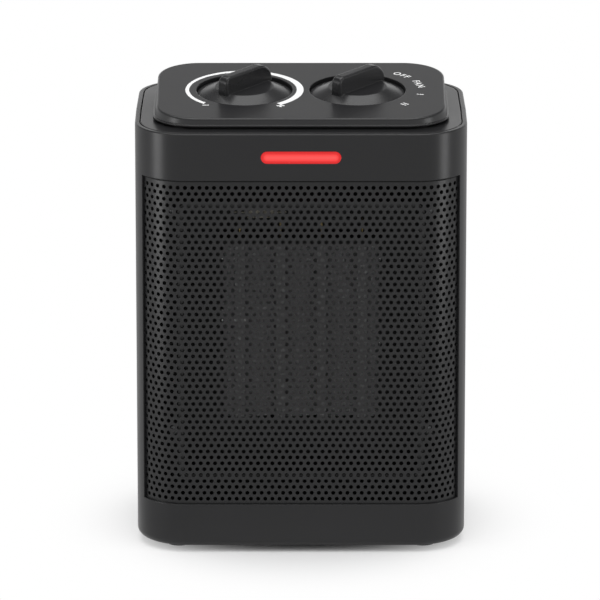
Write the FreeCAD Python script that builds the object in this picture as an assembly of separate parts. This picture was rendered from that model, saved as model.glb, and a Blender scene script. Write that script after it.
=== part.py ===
import FreeCAD, Part

import math
import os

from FreeCAD import Placement, Rotation, Vector

# Tabletop ceramic fan heater.  Millimetres.  +X is the viewer's right, +Y runs from the front
# to the back and +Z is up.  The origin is on the floor, in the middle of the casing's plan.

# ---------------------------------------------------------------- casing
body_width = 175.0
body_depth = 117.0
casing_height = 227.0
foot_height = 3.0
corner_radius = 27.0
wall = 2.4
floor_thickness = 2.4
bottom_edge_radius = 4.0
rim_edge_radius = 0.8
rear_draft = 1.0            # degrees, on the sides of the rear half
parting_setback = 55.0      # from the front face to the joint of the two shells
parting_groove_width = 0.5
parting_groove_depth = 0.8

top_band = 25.2             # plain band above the grille
base_band = 23.8            # plain band below the grille
grille_wrap = 59.0          # degrees that the grille runs round each front corner

# ---------------------------------------------------------------- clearances
contact_gap = 0.1           # between fixed pieces that are laid in each other
slip_gap = 0.3              # between a fixed piece and one slid past it
running_gap = 0.05          # radial, in bearings and bushes
screw_gap = 0.05            # radial, round a screw

# ---------------------------------------------------------------- top cover and control panel
rim_groove = 0.5
cover_thickness = 3.0
ledge_width = 2.6
ledge_thickness = 2.2
cover_seat_side = 10.6      # collar's outside to the opening's edge, left and right
cover_seat_end = 8.5        # the same, front and back
cover_opening_radius = 12.0
cover_edge_radius = 0.5

shoulder_side = 11.2        # casing side to the panel's top edge
shoulder_end = 12.3
panel_radius = 22.0
panel_flare = 1.8           # how far the skirt's foot bead stands outside the top edge
panel_bead = 0.8            # how far the bead stands outside the skirt above it
panel_bead_height = 0.9
panel_bead_radius = 0.4
panel_slope = 4.6           # degrees, up to the back
panel_gap = 1.2             # shadow gap between shoulder and skirt
panel_centre_rise = 9.1     # panel's top above the shoulder, at mid-depth
panel_thickness = 2.4
panel_edge_radius = 1.2
collar_inset = 3.5
collar_wall = 2.0
panel_boss_radius = 3.5
panel_boss_inset = 3.8
panel_boss_y = 20.0
panel_boss_height = 6.0

# ---------------------------------------------------------------- knobs, spindles, controls
knob_gap = 9.8              # between the two skirts
knob_y = 0.6
knob_radius = 25.1
knob_ring_gap = 0.55
knob_well_depth = 2.8       # below the panel's surface
knob_well_wall = 1.8
knob_rim_drop = 1.9         # rim's top below the panel's surface
knob_rim_radius = 0.3
knob_plateau_radius = 15.5
knob_plateau_height = 2.0
knob_sag = 0.2
grip_angle = 48.5           # degrees from +X, both grips at rest
grip_pointer_reach = 18.6
grip_tail_reach = 17.6
grip_foot_thickness = 7.2
grip_top_thickness = 5.6
grip_height = 11.3
grip_pointer_round = 8.8
grip_tail_round = 3.6
grip_edge_radius = 1.2
spindle_radius = 2.5
spindle_flat = 1.8
spindle_top = 6.0
spindle_depth = 20.0
spindle_hole_clearance = 1.0

control_boss_height = 3.4   # below the knob's well
control_boss_offset = 21.0
control_boss_radius = 3.5
control_body_height = 16.0
control_ear_thickness = 2.0
thermostat_width = 30.0
thermostat_depth = 26.0
switch_radius = 14.0
blade_width = 6.3
blade_thickness = 0.8
blade_length = 8.0

# ---------------------------------------------------------------- grille
grille_recess = 1.3
grille_thickness = 0.8
grille_lap = 3.0            # how far the sheet reaches behind its opening's edge

# ---------------------------------------------------------------- indicator
lens_length = 42.0
lens_height = 6.5
lens_drop = 12.6            # centre, below the casing's top
lens_flange = 2.0
flange_thickness = 1.5
lamp_holder_depth = 8.6
lamp_board_thickness = 1.6
lamp_radius = 1.5
lamp_height = 2.9
lamp_pitch = 14.0

# ---------------------------------------------------------------- duct and heating block
duct_side_margin = 22.5     # casing side to duct
duct_end_margin = 13.0      # grille opening's top and bottom edge to duct
duct_setback = 2.7          # duct's front edge behind the casing's front face
duct_wall = 3.0
duct_step = 1.0
duct_flange = 5.0
duct_flange_thickness = 3.0
duct_radius = 5.0

block_width = 84.0
block_height = 97.0
block_depth = 15.0
bar_pitch = 21.65
bar_count = 4
bar_width = 5.0
bar_wall = 1.0
stone_count = 5
stone_length = 17.0
fin_pitch = 4.0
fin_crest = 1.2             # flat across each fold's crest
block_collar_wall = 3.0
block_collar_lap = 2.0
heater_plate_thickness = 3.0
heater_to_shroud = 5.0
cutoff_radius = 7.5
cutoff_depth = 7.0
fuse_length = 14.0
fuse_size = 5.0

# ---------------------------------------------------------------- fan
impeller_radius = 52.0
impeller_tip_gap = 2.5
impeller_depth = 18.0
impeller_hub_radius = 16.0
impeller_hub_wall = 2.0
impeller_boss_radius = 4.5
blade_count = 7
blade_root_chord = 20.0
blade_tip_chord = 27.0
blade_sheet = 1.8
blade_root_pitch = 46.0     # degrees, chord against the plane of rotation
blade_tip_pitch = 27.0
shroud_plate_thickness = 3.0
shroud_ring_wall = 3.0
shroud_ring_depth = 21.0
shroud_top_margin = 9.0     # duct top to the top of the shroud plate
mount_thickness = 3.0
mount_arm_width = 8.0
mount_pad_radius = 27.0
mount_hole_radius = 8.0
mount_boss_radius = 3.5

# ---------------------------------------------------------------- motor
shaft_radius = 1.6
bearing_radius = 5.0
bearing_length = 5.0
bracket_height = 16.0
bracket_thickness = 2.0
bracket_boss_radius = 7.0
bracket_boss_depth = 6.0
bracket_spacer_radius = 4.0
bracket_spacer_length = 7.0
motor_screw_x = 22.0
stator_half_width = 28.0
stator_top = 22.0
stator_bottom = 48.0
stator_depth = 16.0
stator_limb = 12.0
stator_window_top = 18.0
rotor_radius = 11.8
rotor_air_gap = 0.5
coil_build = 8.0
coil_half_length = 14.0
motor_rear_space = 8.0      # winding's back to the rear wall

# ---------------------------------------------------------------- rear of the casing
inlet_size = 104.0
inlet_radius = 6.0
inlet_slot_pitch = 6.0
inlet_slot_height = 3.0
inlet_slot_rows = 16
inlet_slot_columns = 4
inlet_border = 4.0
inlet_rib = 3.0
inlet_flange = 3.0
filter_thickness = 0.8
grip_width = 92.0
grip_opening_height = 24.0
grip_drop = 24.0            # cup's centre, below the casing's top
grip_depth = 24.0
grip_wall = 2.0
grip_radius = 6.0
bush_inset = 39.5           # in from the casing's side
bush_rise = 20.0            # above the casing's underside
bush_radius = 6.0
bush_bore = 3.6
bush_flange = 2.5

# ---------------------------------------------------------------- base
foot_radius = 7.0
foot_peg_radius = 2.5
foot_inset_x = 22.5
foot_inset_y = 18.5
tip_inset = 49.5            # in from the casing's left side
tip_setback = 84.0          # behind the front face
tip_button_radius = 5.0
tip_stem_radius = 2.5
tip_travel = 4.0
tip_flange_radius = 7.0
tip_flange_thickness = 1.5
tip_cavity_radius = 8.5
tip_cavity_height = 19.0
tip_housing_width = 24.0
tip_housing_depth = 22.0
tip_ceiling = 3.0
tip_stem_rise = 2.1
tip_plate_height = 15.0
tip_plate_thickness = 3.0
spring_wire = 0.7
spring_radius = 4.0
spring_turns = 6.0
micro_length = 20.0
micro_width = 6.4
micro_height = 10.0
micro_button = 1.2
block_terminals = 3
terminal_pitch = 10.0
terminal_depth = 16.0
terminal_height = 12.0
terminal_inset = 47.5
terminal_setback = 86.0

# ---------------------------------------------------------------- fasteners
screw_radius = 1.5
screw_head_radius = 2.9
screw_head_height = 2.2
shell_boss_radius = 4.2
shell_boss_x = 17.5         # boss centre, in from the casing's side
shell_boss_low = 13.0       # above the underside
shell_boss_high = 16.0      # below the casing's top
shell_screw_seat = 12.0     # behind the parting plane
shell_screw_bite = 15.0     # in front of it
counterbore_radius = 3.4

# ---------------------------------------------------------------- places worked out from these
half_width = body_width / 2
front_y = -body_depth / 2
back_y = body_depth / 2
parting_y = front_y + parting_setback
underside_z = foot_height
floor_z = underside_z + floor_thickness
casing_top = underside_z + casing_height
rear_wall_y = back_y - wall
grille_low = underside_z + base_band
grille_high = casing_top - top_band

cover_low = casing_top - cover_thickness
panel_centre_z = casing_top + panel_centre_rise
panel_width = body_width - 2 * shoulder_side
panel_depth = body_depth - 2 * shoulder_end
collar_half_width = panel_width / 2 + panel_flare - collar_inset
collar_half_depth = panel_depth / 2 + panel_flare - collar_inset
knob_spacing = 2 * knob_radius + knob_gap
well_low = -knob_well_depth - knob_well_wall
control_high = well_low - control_boss_height
control_screw_high = well_low + knob_well_wall / 2
panel_screw_x = collar_half_width - collar_wall - panel_boss_inset
panel_screw_places = [
    (sx * panel_screw_x, sy * panel_boss_y) for sx in (-1, 1) for sy in (-1, 1)
]

duct_half_width = half_width - duct_side_margin
duct_low = grille_low + duct_end_margin
duct_high = grille_high - duct_end_margin
duct_front = front_y + duct_setback
axis_z = (duct_low + duct_high) / 2

coil_back = rear_wall_y - motor_rear_space
stator_back = coil_back - coil_build
stator_front = stator_back - stator_depth
bracket_front = stator_front - bracket_spacer_length - bracket_thickness
bracket_back = stator_back + bracket_spacer_length + bracket_thickness
mount_front = bracket_front - mount_thickness
shroud_ring_front = mount_front - shroud_ring_depth
shroud_front = shroud_ring_front - shroud_plate_thickness
shroud_bore = impeller_radius + impeller_tip_gap
shroud_outer = shroud_bore + shroud_ring_wall
impeller_back = mount_front - impeller_tip_gap
impeller_front = impeller_back - impeller_depth
heater_seat = shroud_front - heater_to_shroud - heater_plate_thickness
block_back = heater_seat + 1.0
block_front = block_back - block_depth

tip_x = -half_width + tip_inset
tip_y = front_y + tip_setback
terminal_x = half_width - terminal_inset
terminal_y = front_y + terminal_setback
bush_x = half_width - bush_inset
shell_boss_places = [
    (side * (half_width - shell_boss_x), z)
    for z in (underside_z + shell_boss_low, casing_top - shell_boss_high)
    for side in (-1, 1)
]
foot_places = [
    (sx * (half_width - foot_inset_x), sy * (back_y - foot_inset_y))
    for sx in (-1, 1)
    for sy in (-1, 1)
]
mount_places = [
    (
        (shroud_outer + 2.0) * math.cos(math.radians(turn)),
        axis_z + (shroud_outer + 2.0) * math.sin(math.radians(turn)),
    )
    for turn in (45, 135, 225, 315)
]

pieces = {}


# ---------------------------------------------------------------- shapes
def rounded_loop(corners, inset=0.0):
    """Closed wire at z = 0 through convex (x, y, radius) corners, drawn in by inset."""
    spots = []
    for i, (x, y, radius) in enumerate(corners):
        here = Vector(x, y, 0)
        before = Vector(*corners[i - 1][:2], 0) - here
        after = Vector(*corners[(i + 1) % len(corners)][:2], 0) - here
        before.normalize()
        after.normalize()
        inward = before + after
        inward.normalize()
        half_angle = before.getAngle(after) / 2
        corner = here + inward * (inset / math.sin(half_angle))
        turn = max(radius - inset, 0.0)
        reach = turn / math.tan(half_angle)
        middle = corner + inward * (turn / math.sin(half_angle) - turn)
        spots.append((corner + before * reach, middle, corner + after * reach, turn))
    edges = []
    for i, (start, middle, end, turn) in enumerate(spots):
        if turn > 0:
            edges.append(Part.Arc(start, middle, end).toShape())
        following = spots[(i + 1) % len(spots)][0]
        if end.distanceToPoint(following) > 1e-6:
            edges.append(Part.LineSegment(end, following).toShape())
    return Part.Wire(edges)


def rect(width, height, radius=0.0, x=0.0, y=0.0):
    """Corners of a rounded rectangle centred on (x, y)."""
    return [
        (x - width / 2, y - height / 2, radius),
        (x + width / 2, y - height / 2, radius),
        (x + width / 2, y + height / 2, radius),
        (x - width / 2, y + height / 2, radius),
    ]


def prism(corners, low, high, inset=0.0):
    """Upright prism on a rounded outline."""
    face = Part.Face(rounded_loop(corners, inset))
    face.translate(Vector(0, 0, low))
    return face.extrude(Vector(0, 0, high - low))


def prism_y(corners, front, back, inset=0.0):
    """Prism along Y; the corners are (x, z, radius)."""
    solid = prism(corners, -back, -front, inset)
    solid.rotate(Vector(0, 0, 0), Vector(1, 0, 0), 90)
    return solid


def block(x0, x1, y0, y1, z0, z1):
    return Part.makeBox(x1 - x0, y1 - y0, z1 - z0, Vector(x0, y0, z0))


def post(x, y, radius, low, high):
    """Upright cylinder."""
    return Part.makeCylinder(radius, high - low, Vector(x, y, low), Vector(0, 0, 1))


def rod(x, z, radius, front, back):
    """Cylinder along Y."""
    return Part.makeCylinder(radius, back - front, Vector(x, front, z), Vector(0, 1, 0))


def fuse(solids):
    first, *others = solids
    return first.multiFuse(others).removeSplitter() if others else first


def cut(solid, tools):
    return solid.cut(Part.makeCompound(tools)) if tools else solid


def edges_at(shape, low, high=None):
    """Edges that lie wholly between two heights."""
    high = low if high is None else high
    return [
        edge
        for edge in shape.Edges
        if edge.BoundBox.ZMin > low - 0.01 and edge.BoundBox.ZMax < high + 0.01
    ]


def add(name, shape):
    solids = shape.Solids
    pieces[name] = solids[0] if len(solids) == 1 else Part.makeCompound(solids)


def screw_y(x, z, seat, bite, facing=1):
    """Screw along Y whose head lies on the seat; facing 1 puts its head to the back."""
    shank = sorted((seat, seat - facing * bite))
    head = sorted((seat, seat + facing * screw_head_height))
    return fuse([rod(x, z, screw_radius, *shank), rod(x, z, screw_head_radius, *head)])


def screw_up(x, y, seat, bite):
    """Upright screw driven from below, its head under the seat."""
    shank = post(x, y, screw_radius, seat, seat + bite)
    head = post(x, y, screw_head_radius, seat - screw_head_height, seat)
    return fuse([shank, head])


def on_panel(shape, x):
    """Moves a shape from a control's own frame, w along the panel's normal, to the panel."""
    place = Placement(
        Vector(x, knob_y, panel_height(knob_y)), Rotation(Vector(1, 0, 0), panel_slope)
    )
    shape.Placement = place.multiply(shape.Placement)
    return shape


def panel_height(y):
    """Height of the panel's top surface."""
    return panel_centre_z + y * math.tan(math.radians(panel_slope))


# ---------------------------------------------------------------- casing
def casing_corners():
    rear_half = half_width - (back_y - parting_y) * math.tan(math.radians(rear_draft))
    return [
        (-half_width, front_y, corner_radius),
        (half_width, front_y, corner_radius),
        (half_width, parting_y, 0.0),
        (rear_half, back_y, corner_radius),
        (-rear_half, back_y, corner_radius),
        (-half_width, parting_y, 0.0),
    ]


def grille_sector(low, high, extra=0.0):
    """Prism round the grille's stretch of the casing; extra widens it along the corner."""
    wrap = math.radians(grille_wrap) + extra / corner_radius
    centre_x = half_width - corner_radius
    centre_y = front_y + corner_radius
    reach = 3 * corner_radius
    far_x = centre_x + reach * math.sin(wrap)
    far_y = centre_y - reach * math.cos(wrap)
    ahead = centre_y - reach
    points = [
        (-centre_x, centre_y),
        (-far_x, far_y),
        (-far_x, ahead),
        (far_x, ahead),
        (far_x, far_y),
        (centre_x, centre_y),
        (-centre_x, centre_y),
    ]
    face = Part.Face(Part.makePolygon([Vector(x, y, low) for x, y in points]))
    return face.extrude(Vector(0, 0, high - low))


def lens_corners(margin):
    """Outline of the indicator's window in the front wall, (x, z, radius)."""
    width = lens_length + 2 * margin
    height = lens_height + 2 * margin
    return rect(width, height, height / 2 - 0.001, 0, casing_top - lens_drop)


def inlet_corners(margin):
    return rect(inlet_size + 2 * margin, inlet_size + 2 * margin, inlet_radius + margin, 0, axis_z)


def grip_corners(margin):
    return rect(
        grip_width + 2 * margin,
        grip_opening_height + 2 * margin,
        grip_radius + margin,
        0,
        casing_top - grip_drop,
    )


def casing():
    """Both shells in one, before they are parted."""
    corners = casing_corners()
    outer = prism(corners, underside_z, casing_top)
    outer = outer.makeFillet(bottom_edge_radius, edges_at(outer, underside_z))
    outer = outer.makeFillet(rim_edge_radius, edges_at(outer, casing_top))
    hollow = prism(corners, floor_z, casing_top + 1, wall)
    ledge_low = cover_low - ledge_thickness
    ledge = prism(corners, ledge_low, cover_low, wall / 2)
    ledge = ledge.cut(prism(corners, ledge_low - 1, casing_top, wall + ledge_width))
    shell = fuse([outer.cut(hollow), ledge])
    rebate = prism(corners, grille_low - grille_lap, grille_high + grille_lap, grille_recess)
    rebate = rebate.common(
        grille_sector(grille_low - grille_lap, grille_high + grille_lap, grille_lap)
    )
    tools = [grille_sector(grille_low, grille_high), rebate]
    tools.append(prism_y(lens_corners(contact_gap), front_y - 1, front_y + wall + 1))
    tools.append(prism_y(inlet_corners(contact_gap), rear_wall_y - 1, back_y + 1))
    tools.append(prism_y(grip_corners(contact_gap), rear_wall_y - 1, back_y + 1))
    tools.append(
        rod(bush_x, underside_z + bush_rise, bush_radius + contact_gap, rear_wall_y - 1, back_y + 1)
    )
    for x, y in foot_places:
        tools.append(post(x, y, foot_peg_radius + contact_gap, underside_z - 1, floor_z + 1))
    tools.append(post(tip_x, tip_y, tip_button_radius + slip_gap, underside_z - 1, floor_z + 1))
    for tool in tools:
        shell = shell.cut(tool)
    groove_low = parting_y - parting_groove_width / 2
    slab = block(
        -body_width, body_width, groove_low, groove_low + parting_groove_width, 0, casing_top + 1
    )
    return shell.cut(slab.cut(prism(corners, floor_z, casing_top + 2, parting_groove_depth)))


def shell_bosses(front):
    """Screw bosses of one shell, and the holes to be cut in them."""
    inside = prism(casing_corners(), underside_z, casing_top, wall / 2)
    bosses = []
    holes = []
    for x, z in shell_boss_places:
        if front:
            bosses.append(rod(x, z, shell_boss_radius, front_y, parting_y).common(inside))
            bite = shell_screw_bite + 2
            holes.append(rod(x, z, screw_radius + screw_gap, parting_y - bite, parting_y + 1))
        else:
            bosses.append(rod(x, z, shell_boss_radius + 1, parting_y, back_y).common(inside))
            seat = parting_y + shell_screw_seat
            holes.append(rod(x, z, screw_radius + screw_gap, parting_y - 1, back_y))
            holes.append(rod(x, z, counterbore_radius, seat, back_y + 1))
    return bosses, holes


def make_shells():
    whole = casing()
    far = 2 * body_width
    for name, front in (("front_shell", True), ("rear_shell", False)):
        low, high = (-far, parting_y) if front else (parting_y, far)
        half = whole.common(block(-far, far, low, high, -10, casing_top + 10))
        bosses, holes = shell_bosses(front)
        add(name, cut(fuse([half] + bosses), holes))
    screws = [
        screw_y(x, z, parting_y + shell_screw_seat, shell_screw_seat + shell_screw_bite)
        for x, z in shell_boss_places
    ]
    add("shell_screws", Part.makeCompound(screws))


def make_grille():
    """Bent sheet laid in the rebate behind the opening; its perforations are left out."""
    low = grille_low - grille_lap + slip_gap
    high = grille_high + grille_lap - slip_gap
    outer_inset = grille_recess + contact_gap
    corners = casing_corners()
    sheet = prism(corners, low, high, outer_inset)
    sheet = sheet.cut(prism(corners, low - 1, high + 1, outer_inset + grille_thickness))
    add("front_grille", sheet.common(grille_sector(low - 1, high + 1, grille_lap - slip_gap)))


def make_top_cover():
    """Shoulder plate inside the casing's rim; the controls hang through its opening."""
    opening = rect(
        2 * (collar_half_width - cover_seat_side),
        2 * (collar_half_depth - cover_seat_end),
        cover_opening_radius,
    )
    plate = prism(casing_corners(), cover_low, casing_top, wall + rim_groove)
    plate = plate.makeFillet(cover_edge_radius, edges_at(plate, casing_top))
    plate = plate.cut(prism(opening, cover_low - 1, casing_top + 1))
    holes = [
        post(x, y, screw_radius + screw_gap, cover_low - 1, casing_top + 1)
        for x, y in panel_screw_places
    ]
    add("top_cover", cut(plate, holes))


# ---------------------------------------------------------------- control panel and controls
def panel_foot_corners(flare):
    return rect(panel_width + 2 * flare, panel_depth + 2 * flare, panel_radius + flare)


def sloped_cap(inset, drop, low):
    """Solid of the panel: a ruled skirt from a level foot to a top edge on the slope."""
    foot = rounded_loop(panel_foot_corners(panel_flare - panel_bead), inset)
    foot.translate(Vector(0, 0, low))
    stretch = 1 / math.cos(math.radians(panel_slope))
    top = rounded_loop(rect(panel_width, panel_depth * stretch, panel_radius), inset)
    tilt = Rotation(Vector(1, 0, 0), panel_slope)
    top.Placement = Placement(Vector(0, 0, panel_centre_z - drop), tilt)
    return Part.makeLoft([foot, top], True, True)


def control_ear_places():
    return [(0, -control_boss_offset), (0, control_boss_offset)]


def make_control_panel():
    """Cap with a hollow underside, a collar that stands on the shoulder, and bosses."""
    foot_z = casing_top + panel_gap
    outer = sloped_cap(0.0, 0.0, foot_z)
    top_edges = [
        edge for edge in outer.Edges if edge.BoundBox.ZMin > foot_z + panel_edge_radius
        and abs(edge.BoundBox.ZMax - panel_height(edge.BoundBox.YMax)) < 0.05
    ]
    outer = outer.makeFillet(panel_edge_radius, top_edges)
    bead_top = foot_z + panel_bead_height
    bead = prism(panel_foot_corners(panel_flare), foot_z, bead_top)
    bead = bead.makeFillet(panel_bead_radius, edges_at(bead, bead_top))
    shell = fuse([outer, bead]).cut(sloped_cap(panel_thickness, panel_thickness, foot_z - 1))
    collar_outline = rect(2 * collar_half_width, 2 * collar_half_depth, panel_radius)
    collar = prism(collar_outline, casing_top, casing_top + 3 * panel_centre_rise)
    collar = collar.cut(
        prism(collar_outline, casing_top - 1, casing_top + 4 * panel_centre_rise, collar_wall)
    )
    inside = sloped_cap(panel_thickness / 2, panel_thickness / 2, casing_top - 1)
    bosses = [
        post(x, y, panel_boss_radius, casing_top, casing_top + 3 * panel_centre_rise)
        for x, y in panel_screw_places
    ]
    added = [solid.common(inside) for solid in [collar] + bosses]
    tools = [
        post(x, y, screw_radius + screw_gap, casing_top - 1, casing_top + panel_boss_height)
        for x, y in panel_screw_places
    ]
    for side in (-1, 1):
        x = side * knob_spacing / 2
        well_radius = knob_radius + knob_ring_gap
        cup = post(0, 0, well_radius + knob_well_wall, well_low, -panel_thickness / 2)
        added.append(on_panel(cup, x))
        for u, v in control_ear_places():
            added.append(on_panel(post(u, v, control_boss_radius, control_high, well_low + 0.1), x))
            hole = post(u, v, screw_radius + screw_gap, control_high - 1, control_screw_high)
            tools.append(on_panel(hole, x))
        well = post(0, 0, well_radius, -knob_well_depth, grip_height)
        bore = post(0, 0, spindle_radius + spindle_hole_clearance, well_low - 1, 1)
        tools.append(on_panel(fuse([well, bore]), x))
    add("control_panel", cut(fuse([shell] + added), tools))
    screws = [screw_up(x, y, cover_low, cover_thickness + panel_boss_height - 1)
              for x, y in panel_screw_places]
    add("panel_screws", Part.makeCompound(screws))


def spindle_shape(low, high, gap=0.0):
    """Round spindle, flatted where the knob takes it."""
    turned = post(0, 0, spindle_radius + gap, low, high)
    far = 2 * spindle_radius
    flat = block(-far, far, spindle_flat + gap, far, 1.0, high + 1)
    return turned.cut(flat)


def knob_shape():
    """Shallow dished skirt with a bar grip across it."""
    low = slip_gap - knob_well_depth
    rim = Vector(knob_radius, 0, -knob_rim_drop)
    crown = Vector(knob_plateau_radius, 0, knob_plateau_height)
    dip = (rim + crown) * 0.5 - Vector(0, 0, knob_sag)
    edges = [
        Part.LineSegment(Vector(0, 0, low), Vector(knob_radius, 0, low)).toShape(),
        Part.LineSegment(Vector(knob_radius, 0, low), rim).toShape(),
        Part.Arc(rim, dip, crown).toShape(),
        Part.LineSegment(crown, Vector(0, 0, knob_plateau_height)).toShape(),
        Part.LineSegment(Vector(0, 0, knob_plateau_height), Vector(0, 0, low)).toShape(),
    ]
    skirt = Part.Face(Part.Wire(edges)).revolve(Vector(0, 0, 0), Vector(0, 0, 1), 360)
    skirt = skirt.makeFillet(knob_rim_radius, edges_at(skirt, -knob_rim_drop))
    profile = [
        (-grip_tail_reach, 0.0, 0.0),
        (grip_pointer_reach, 0.0, 0.0),
        (grip_pointer_reach, grip_height, grip_pointer_round),
        (-grip_tail_reach, grip_height, grip_tail_round),
    ]
    side = prism_y(profile, -grip_foot_thickness, grip_foot_thickness)
    foot, top = grip_foot_thickness / 2, grip_top_thickness / 2
    section = prism([(-foot, 0, 0), (foot, 0, 0), (top, grip_height, 0), (-top, grip_height, 0)],
                    -grip_pointer_reach - 1, grip_pointer_reach + 1)
    section.rotate(Vector(0, 0, 0), Vector(1, 1, 1), 120)
    grip = side.common(section)
    upper = [edge for edge in grip.Edges if edge.BoundBox.ZMax > knob_plateau_height]
    grip = grip.makeFillet(grip_edge_radius, upper)
    grip.rotate(Vector(0, 0, 0), Vector(0, 0, 1), grip_angle)
    return fuse([skirt, grip]).cut(spindle_shape(low - 1, spindle_top + contact_gap, contact_gap))


def make_control(side, knob_name, spindle_name, body_name, body):
    """One knob with its spindle and the control that it turns."""
    x = side * knob_spacing / 2
    add(knob_name, on_panel(knob_shape(), x))
    add(spindle_name, on_panel(spindle_shape(-spindle_depth, spindle_top), x))
    bore = post(0, 0, spindle_radius + running_gap, -spindle_depth - slip_gap, 1)
    ear_low = control_high - control_ear_thickness
    ears = []
    holes = [bore]
    for u, v in control_ear_places():
        reach = v + math.copysign(control_boss_radius, v)
        y0, y1 = sorted((0, reach))
        ears.append(block(-control_boss_radius, control_boss_radius, y0, y1, ear_low, control_high))
        holes.append(post(u, v, screw_radius + screw_gap, ear_low - 1, control_high + 1))
    add(body_name, on_panel(cut(fuse([body] + ears), holes), x))
    screws = []
    for u, v in control_ear_places():
        screws.append(on_panel(screw_up(u, v, ear_low, control_screw_high - ear_low), x))
    return screws


def blades(low, places):
    """Flat push-on terminals hanging below a control."""
    return [
        block(x - blade_width / 2, x + blade_width / 2, y, y + blade_thickness,
              low - blade_length, low + 1)
        for x, y in places
    ]


def make_controls():
    low = control_high - control_body_height
    case = prism(rect(thermostat_width, thermostat_depth, 2.0), low, control_high)
    thermostat = fuse([case] + blades(low, [(-9.0, -6.0), (9.0, -6.0)]))
    drum = post(0, 0, switch_radius, low, control_high)
    contacts = blades(low, [(-8.0, -5.0), (0.0, -9.0), (8.0, -5.0), (-6.0, 6.0), (6.0, 6.0)])
    switch = fuse([drum] + contacts)
    screws = make_control(-1, "thermostat_knob", "thermostat_spindle", "thermostat_body", thermostat)
    screws += make_control(1, "mode_knob", "mode_spindle", "mode_switch_body", switch)
    add("control_screws", Part.makeCompound(screws))


# ---------------------------------------------------------------- indicator
def make_indicator():
    """Window in the front wall, with the lamps in a cup behind it."""
    inner = front_y + wall
    lens = prism_y(lens_corners(0.0), front_y, inner)
    flange_back = inner + flange_thickness
    flange = prism_y(lens_corners(lens_flange), inner, flange_back)
    add("indicator_lens", fuse([lens, flange]))
    cup_back = flange_back + lamp_holder_depth
    cup = prism_y(lens_corners(lens_flange), flange_back, cup_back)
    add("lamp_holder", cup.cut(
        prism_y(lens_corners(lens_flange - flange_thickness), flange_back - 1, cup_back - flange_thickness)
    ))
    board_back = cup_back - flange_thickness
    board_front = board_back - lamp_board_thickness
    margin = lens_flange - flange_thickness - slip_gap
    board = prism_y(lens_corners(margin), board_front, board_back)
    z = casing_top - lens_drop
    lamps = [
        rod(i * lamp_pitch, z, lamp_radius, board_front - lamp_height, board_front + 0.1)
        for i in (-1, 0, 1)
    ]
    add("lamp_board", fuse([board] + lamps))


# ---------------------------------------------------------------- duct and heating block
def duct_corners(margin=0.0):
    return rect(
        2 * (duct_half_width + margin), duct_high - duct_low + 2 * margin, duct_radius, 0, axis_z
    )


def duct_screw_places():
    x = duct_half_width + duct_flange / 2 + 1.0
    z = (duct_high - duct_low) / 2 - 3 * duct_flange
    return [(sx * x, axis_z + sz * z) for sx in (-1, 1) for sz in (-1, 1)]


def make_duct():
    """Rectangular air duct; its rear end is stepped to seat the heater frame."""
    tube = prism_y(duct_corners(), duct_front, shroud_front)
    ears = [
        rod(x, z, duct_flange, shroud_front - duct_flange_thickness, shroud_front)
        for x, z in duct_screw_places()
    ]
    bore = prism_y(duct_corners(), duct_front - 1, shroud_front + 1, duct_wall)
    step = prism_y(duct_corners(), heater_seat, shroud_front + 1, duct_wall - duct_step)
    holes = [
        rod(x, z, screw_radius + screw_gap, shroud_front - 2 * duct_flange_thickness, shroud_front + 1)
        for x, z in duct_screw_places()
    ]
    add("air_duct", cut(fuse([tube] + ears), [bore, step] + holes))
    seat = shroud_front - duct_flange_thickness
    bite = duct_flange_thickness + shroud_plate_thickness
    add("duct_screws", Part.makeCompound(
        [screw_y(x, z, seat, bite, -1) for x, z in duct_screw_places()]
    ))


def bar_places():
    return [(i - (bar_count - 1) / 2) * bar_pitch for i in range(bar_count)]


def block_corners(margin, radius=0.0):
    return rect(block_width + 2 * margin, block_height + 2 * margin, radius, 0, axis_z)


def make_heater_frame():
    """Plate across the duct with a collar that holds the heating block."""
    outline = duct_corners()
    fit = duct_wall - duct_step + contact_gap
    plate = prism_y(outline, heater_seat, heater_seat + heater_plate_thickness, fit)
    lap_front = block_front - block_collar_lap
    lap_back = heater_seat + heater_plate_thickness
    collar_margin = contact_gap + block_collar_wall
    collar = prism_y(block_corners(collar_margin, block_collar_wall), lap_front, lap_back)
    bore = prism_y(block_corners(contact_gap), lap_front - 1, lap_back + 1)
    slots = [
        block(x - blade_thickness, x + blade_thickness,
              terminal_front() - slip_gap, terminal_front() + blade_width + slip_gap,
              axis_z, axis_z + block_height / 2 + 2 * block_collar_wall)
        for x in bar_places()
    ]
    add("heater_frame", cut(fuse([plate, collar]), [bore] + slots))


def terminal_front():
    return (block_front + block_back - blade_width) / 2


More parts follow.
